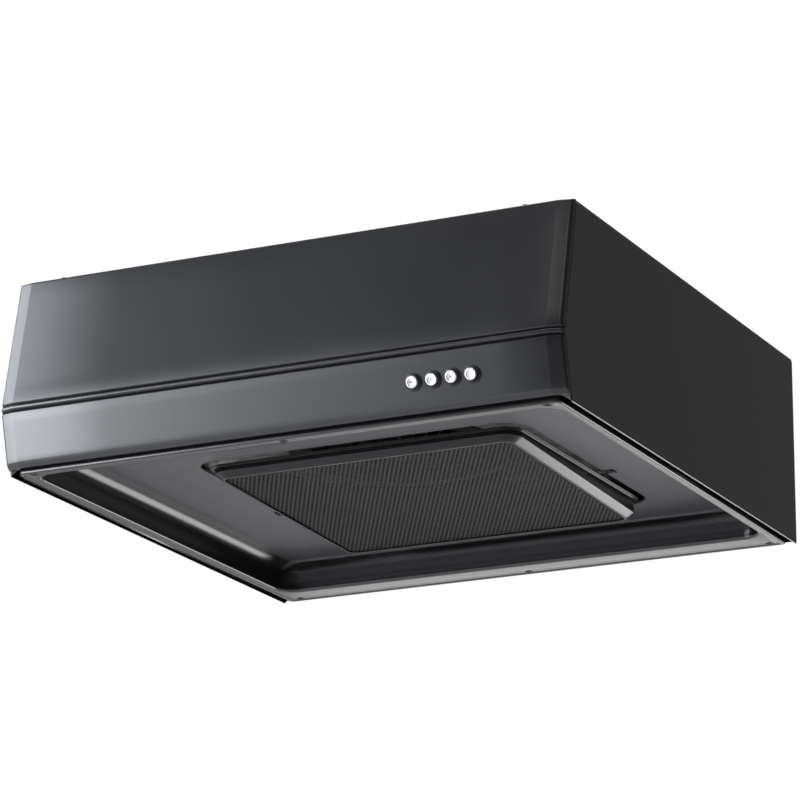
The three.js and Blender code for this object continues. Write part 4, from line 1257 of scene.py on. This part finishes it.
def floor():
    mesh = bpy.data.meshes.new("floor")
    corners = [(x * FLOOR_HALF, y * FLOOR_HALF, FLOOR_Z) for x, y in ((-1, -1), (1, -1), (1, 1), (-1, 1))]
    mesh.from_pydata(corners, [], [(0, 1, 2, 3)])
    made = bpy.data.objects.new("floor", mesh)
    bpy.context.scene.collection.objects.link(made)
    n = Nodes("floor_paint")
    mesh.materials.append(n.finish(Base_Color=n.between(n.noise(0.8), 0.72, 0.76), Roughness=0.85))


def background(tree, strength):
    node = tree.nodes.new("ShaderNodeBackground")
    node.inputs["Color"].default_value = (1, 1, 1, 1)
    node.inputs["Strength"].default_value = strength
    return node.outputs["Background"]


def world():
    """White behind the object, and a dim even fill for everything else."""
    made = bpy.data.worlds.new("studio")
    bpy.context.scene.world = made
    made.use_nodes = True
    tree = made.node_tree
    tree.nodes.clear()
    path = tree.nodes.new("ShaderNodeLightPath")
    mix = tree.nodes.new("ShaderNodeMixShader")
    out = tree.nodes.new("ShaderNodeOutputWorld")
    tree.links.new(path.outputs["Is Camera Ray"], mix.inputs[0])
    tree.links.new(background(tree, FILL), mix.inputs[1])
    tree.links.new(background(tree, 1.0), mix.inputs[2])
    tree.links.new(mix.outputs[0], out.inputs["Surface"])


def panel(name, azimuth, elevation, distance, width, height, radiance, tint=(1, 1, 1)):
    """A soft light that faces the hood. Azimuth turns from the front toward the left, in degrees."""
    turn, lift = math.radians(azimuth), math.radians(elevation)
    away = Vector((-math.sin(turn) * math.cos(lift), -math.cos(turn) * math.cos(lift), math.sin(lift)))
    data = bpy.data.lights.new(name, "AREA")
    data.shape = "RECTANGLE"
    data.size, data.size_y = width, height
    data.energy = radiance * math.pi * width * height
    data.color = tint
    made = bpy.data.objects.new(name, data)
    facing = away.to_track_quat("Z", "Y").to_matrix().to_4x4()
    made.matrix_world = Matrix.Translation(away * distance + Vector((0, 0, 0.1))) @ facing
    made.visible_camera = False
    bpy.context.scene.collection.objects.link(made)
    return made


def camera():
    """From below the front right corner, with a long lens."""
    azimuth, elevation, roll = [math.radians(turn) for turn in CAMERA_TURN]
    level = Vector((-math.sin(azimuth), math.cos(azimuth), 0))
    ahead = level * math.cos(elevation) + Vector((0, 0, math.sin(elevation)))
    data = bpy.data.cameras.new("camera")
    data.sensor_width = SENSOR
    data.lens = LENS
    data.clip_end = 100
    made = bpy.data.objects.new("camera", data)
    turn = ahead.to_track_quat("-Z", "Y").to_matrix().to_4x4()
    made.matrix_world = Matrix.Translation(CAMERA_PLACE) @ turn @ Matrix.Rotation(roll, 4, "Z")
    bpy.context.scene.collection.objects.link(made)
    bpy.context.scene.camera = made


COOL = (0.91, 0.94, 1.0)
COOLER = (0.88, 0.92, 1.0)
floor()
world()
panel("key_low", 45, 0, 4.5, 2.3, 1.8, 15, COOL)
panel("key_mid", 46, 18, 4.5, 2.5, 0.6, 9, COOL)
panel("key_high", 66, 30, 4.5, 2.8, 1.7, 7, COOLER)
panel("front_high", 3, 37, 4.5, 0.9, 1.3, 1.8)
panel("overhead", 0, 88, 3.5, 3.5, 3.5, 1.6)
panel("floor_wash", 165, 55, 4.5, 3.0, 3.0, 5.5)
panel("rear_low", 164, -9, 5.2, 2.4, 0.9, 1.4)
panel("cove_light", 198.7, -29, 2.4, 1.0, 0.7, 5)
camera()
bpy.context.scene.view_settings.view_transform = "Standard"
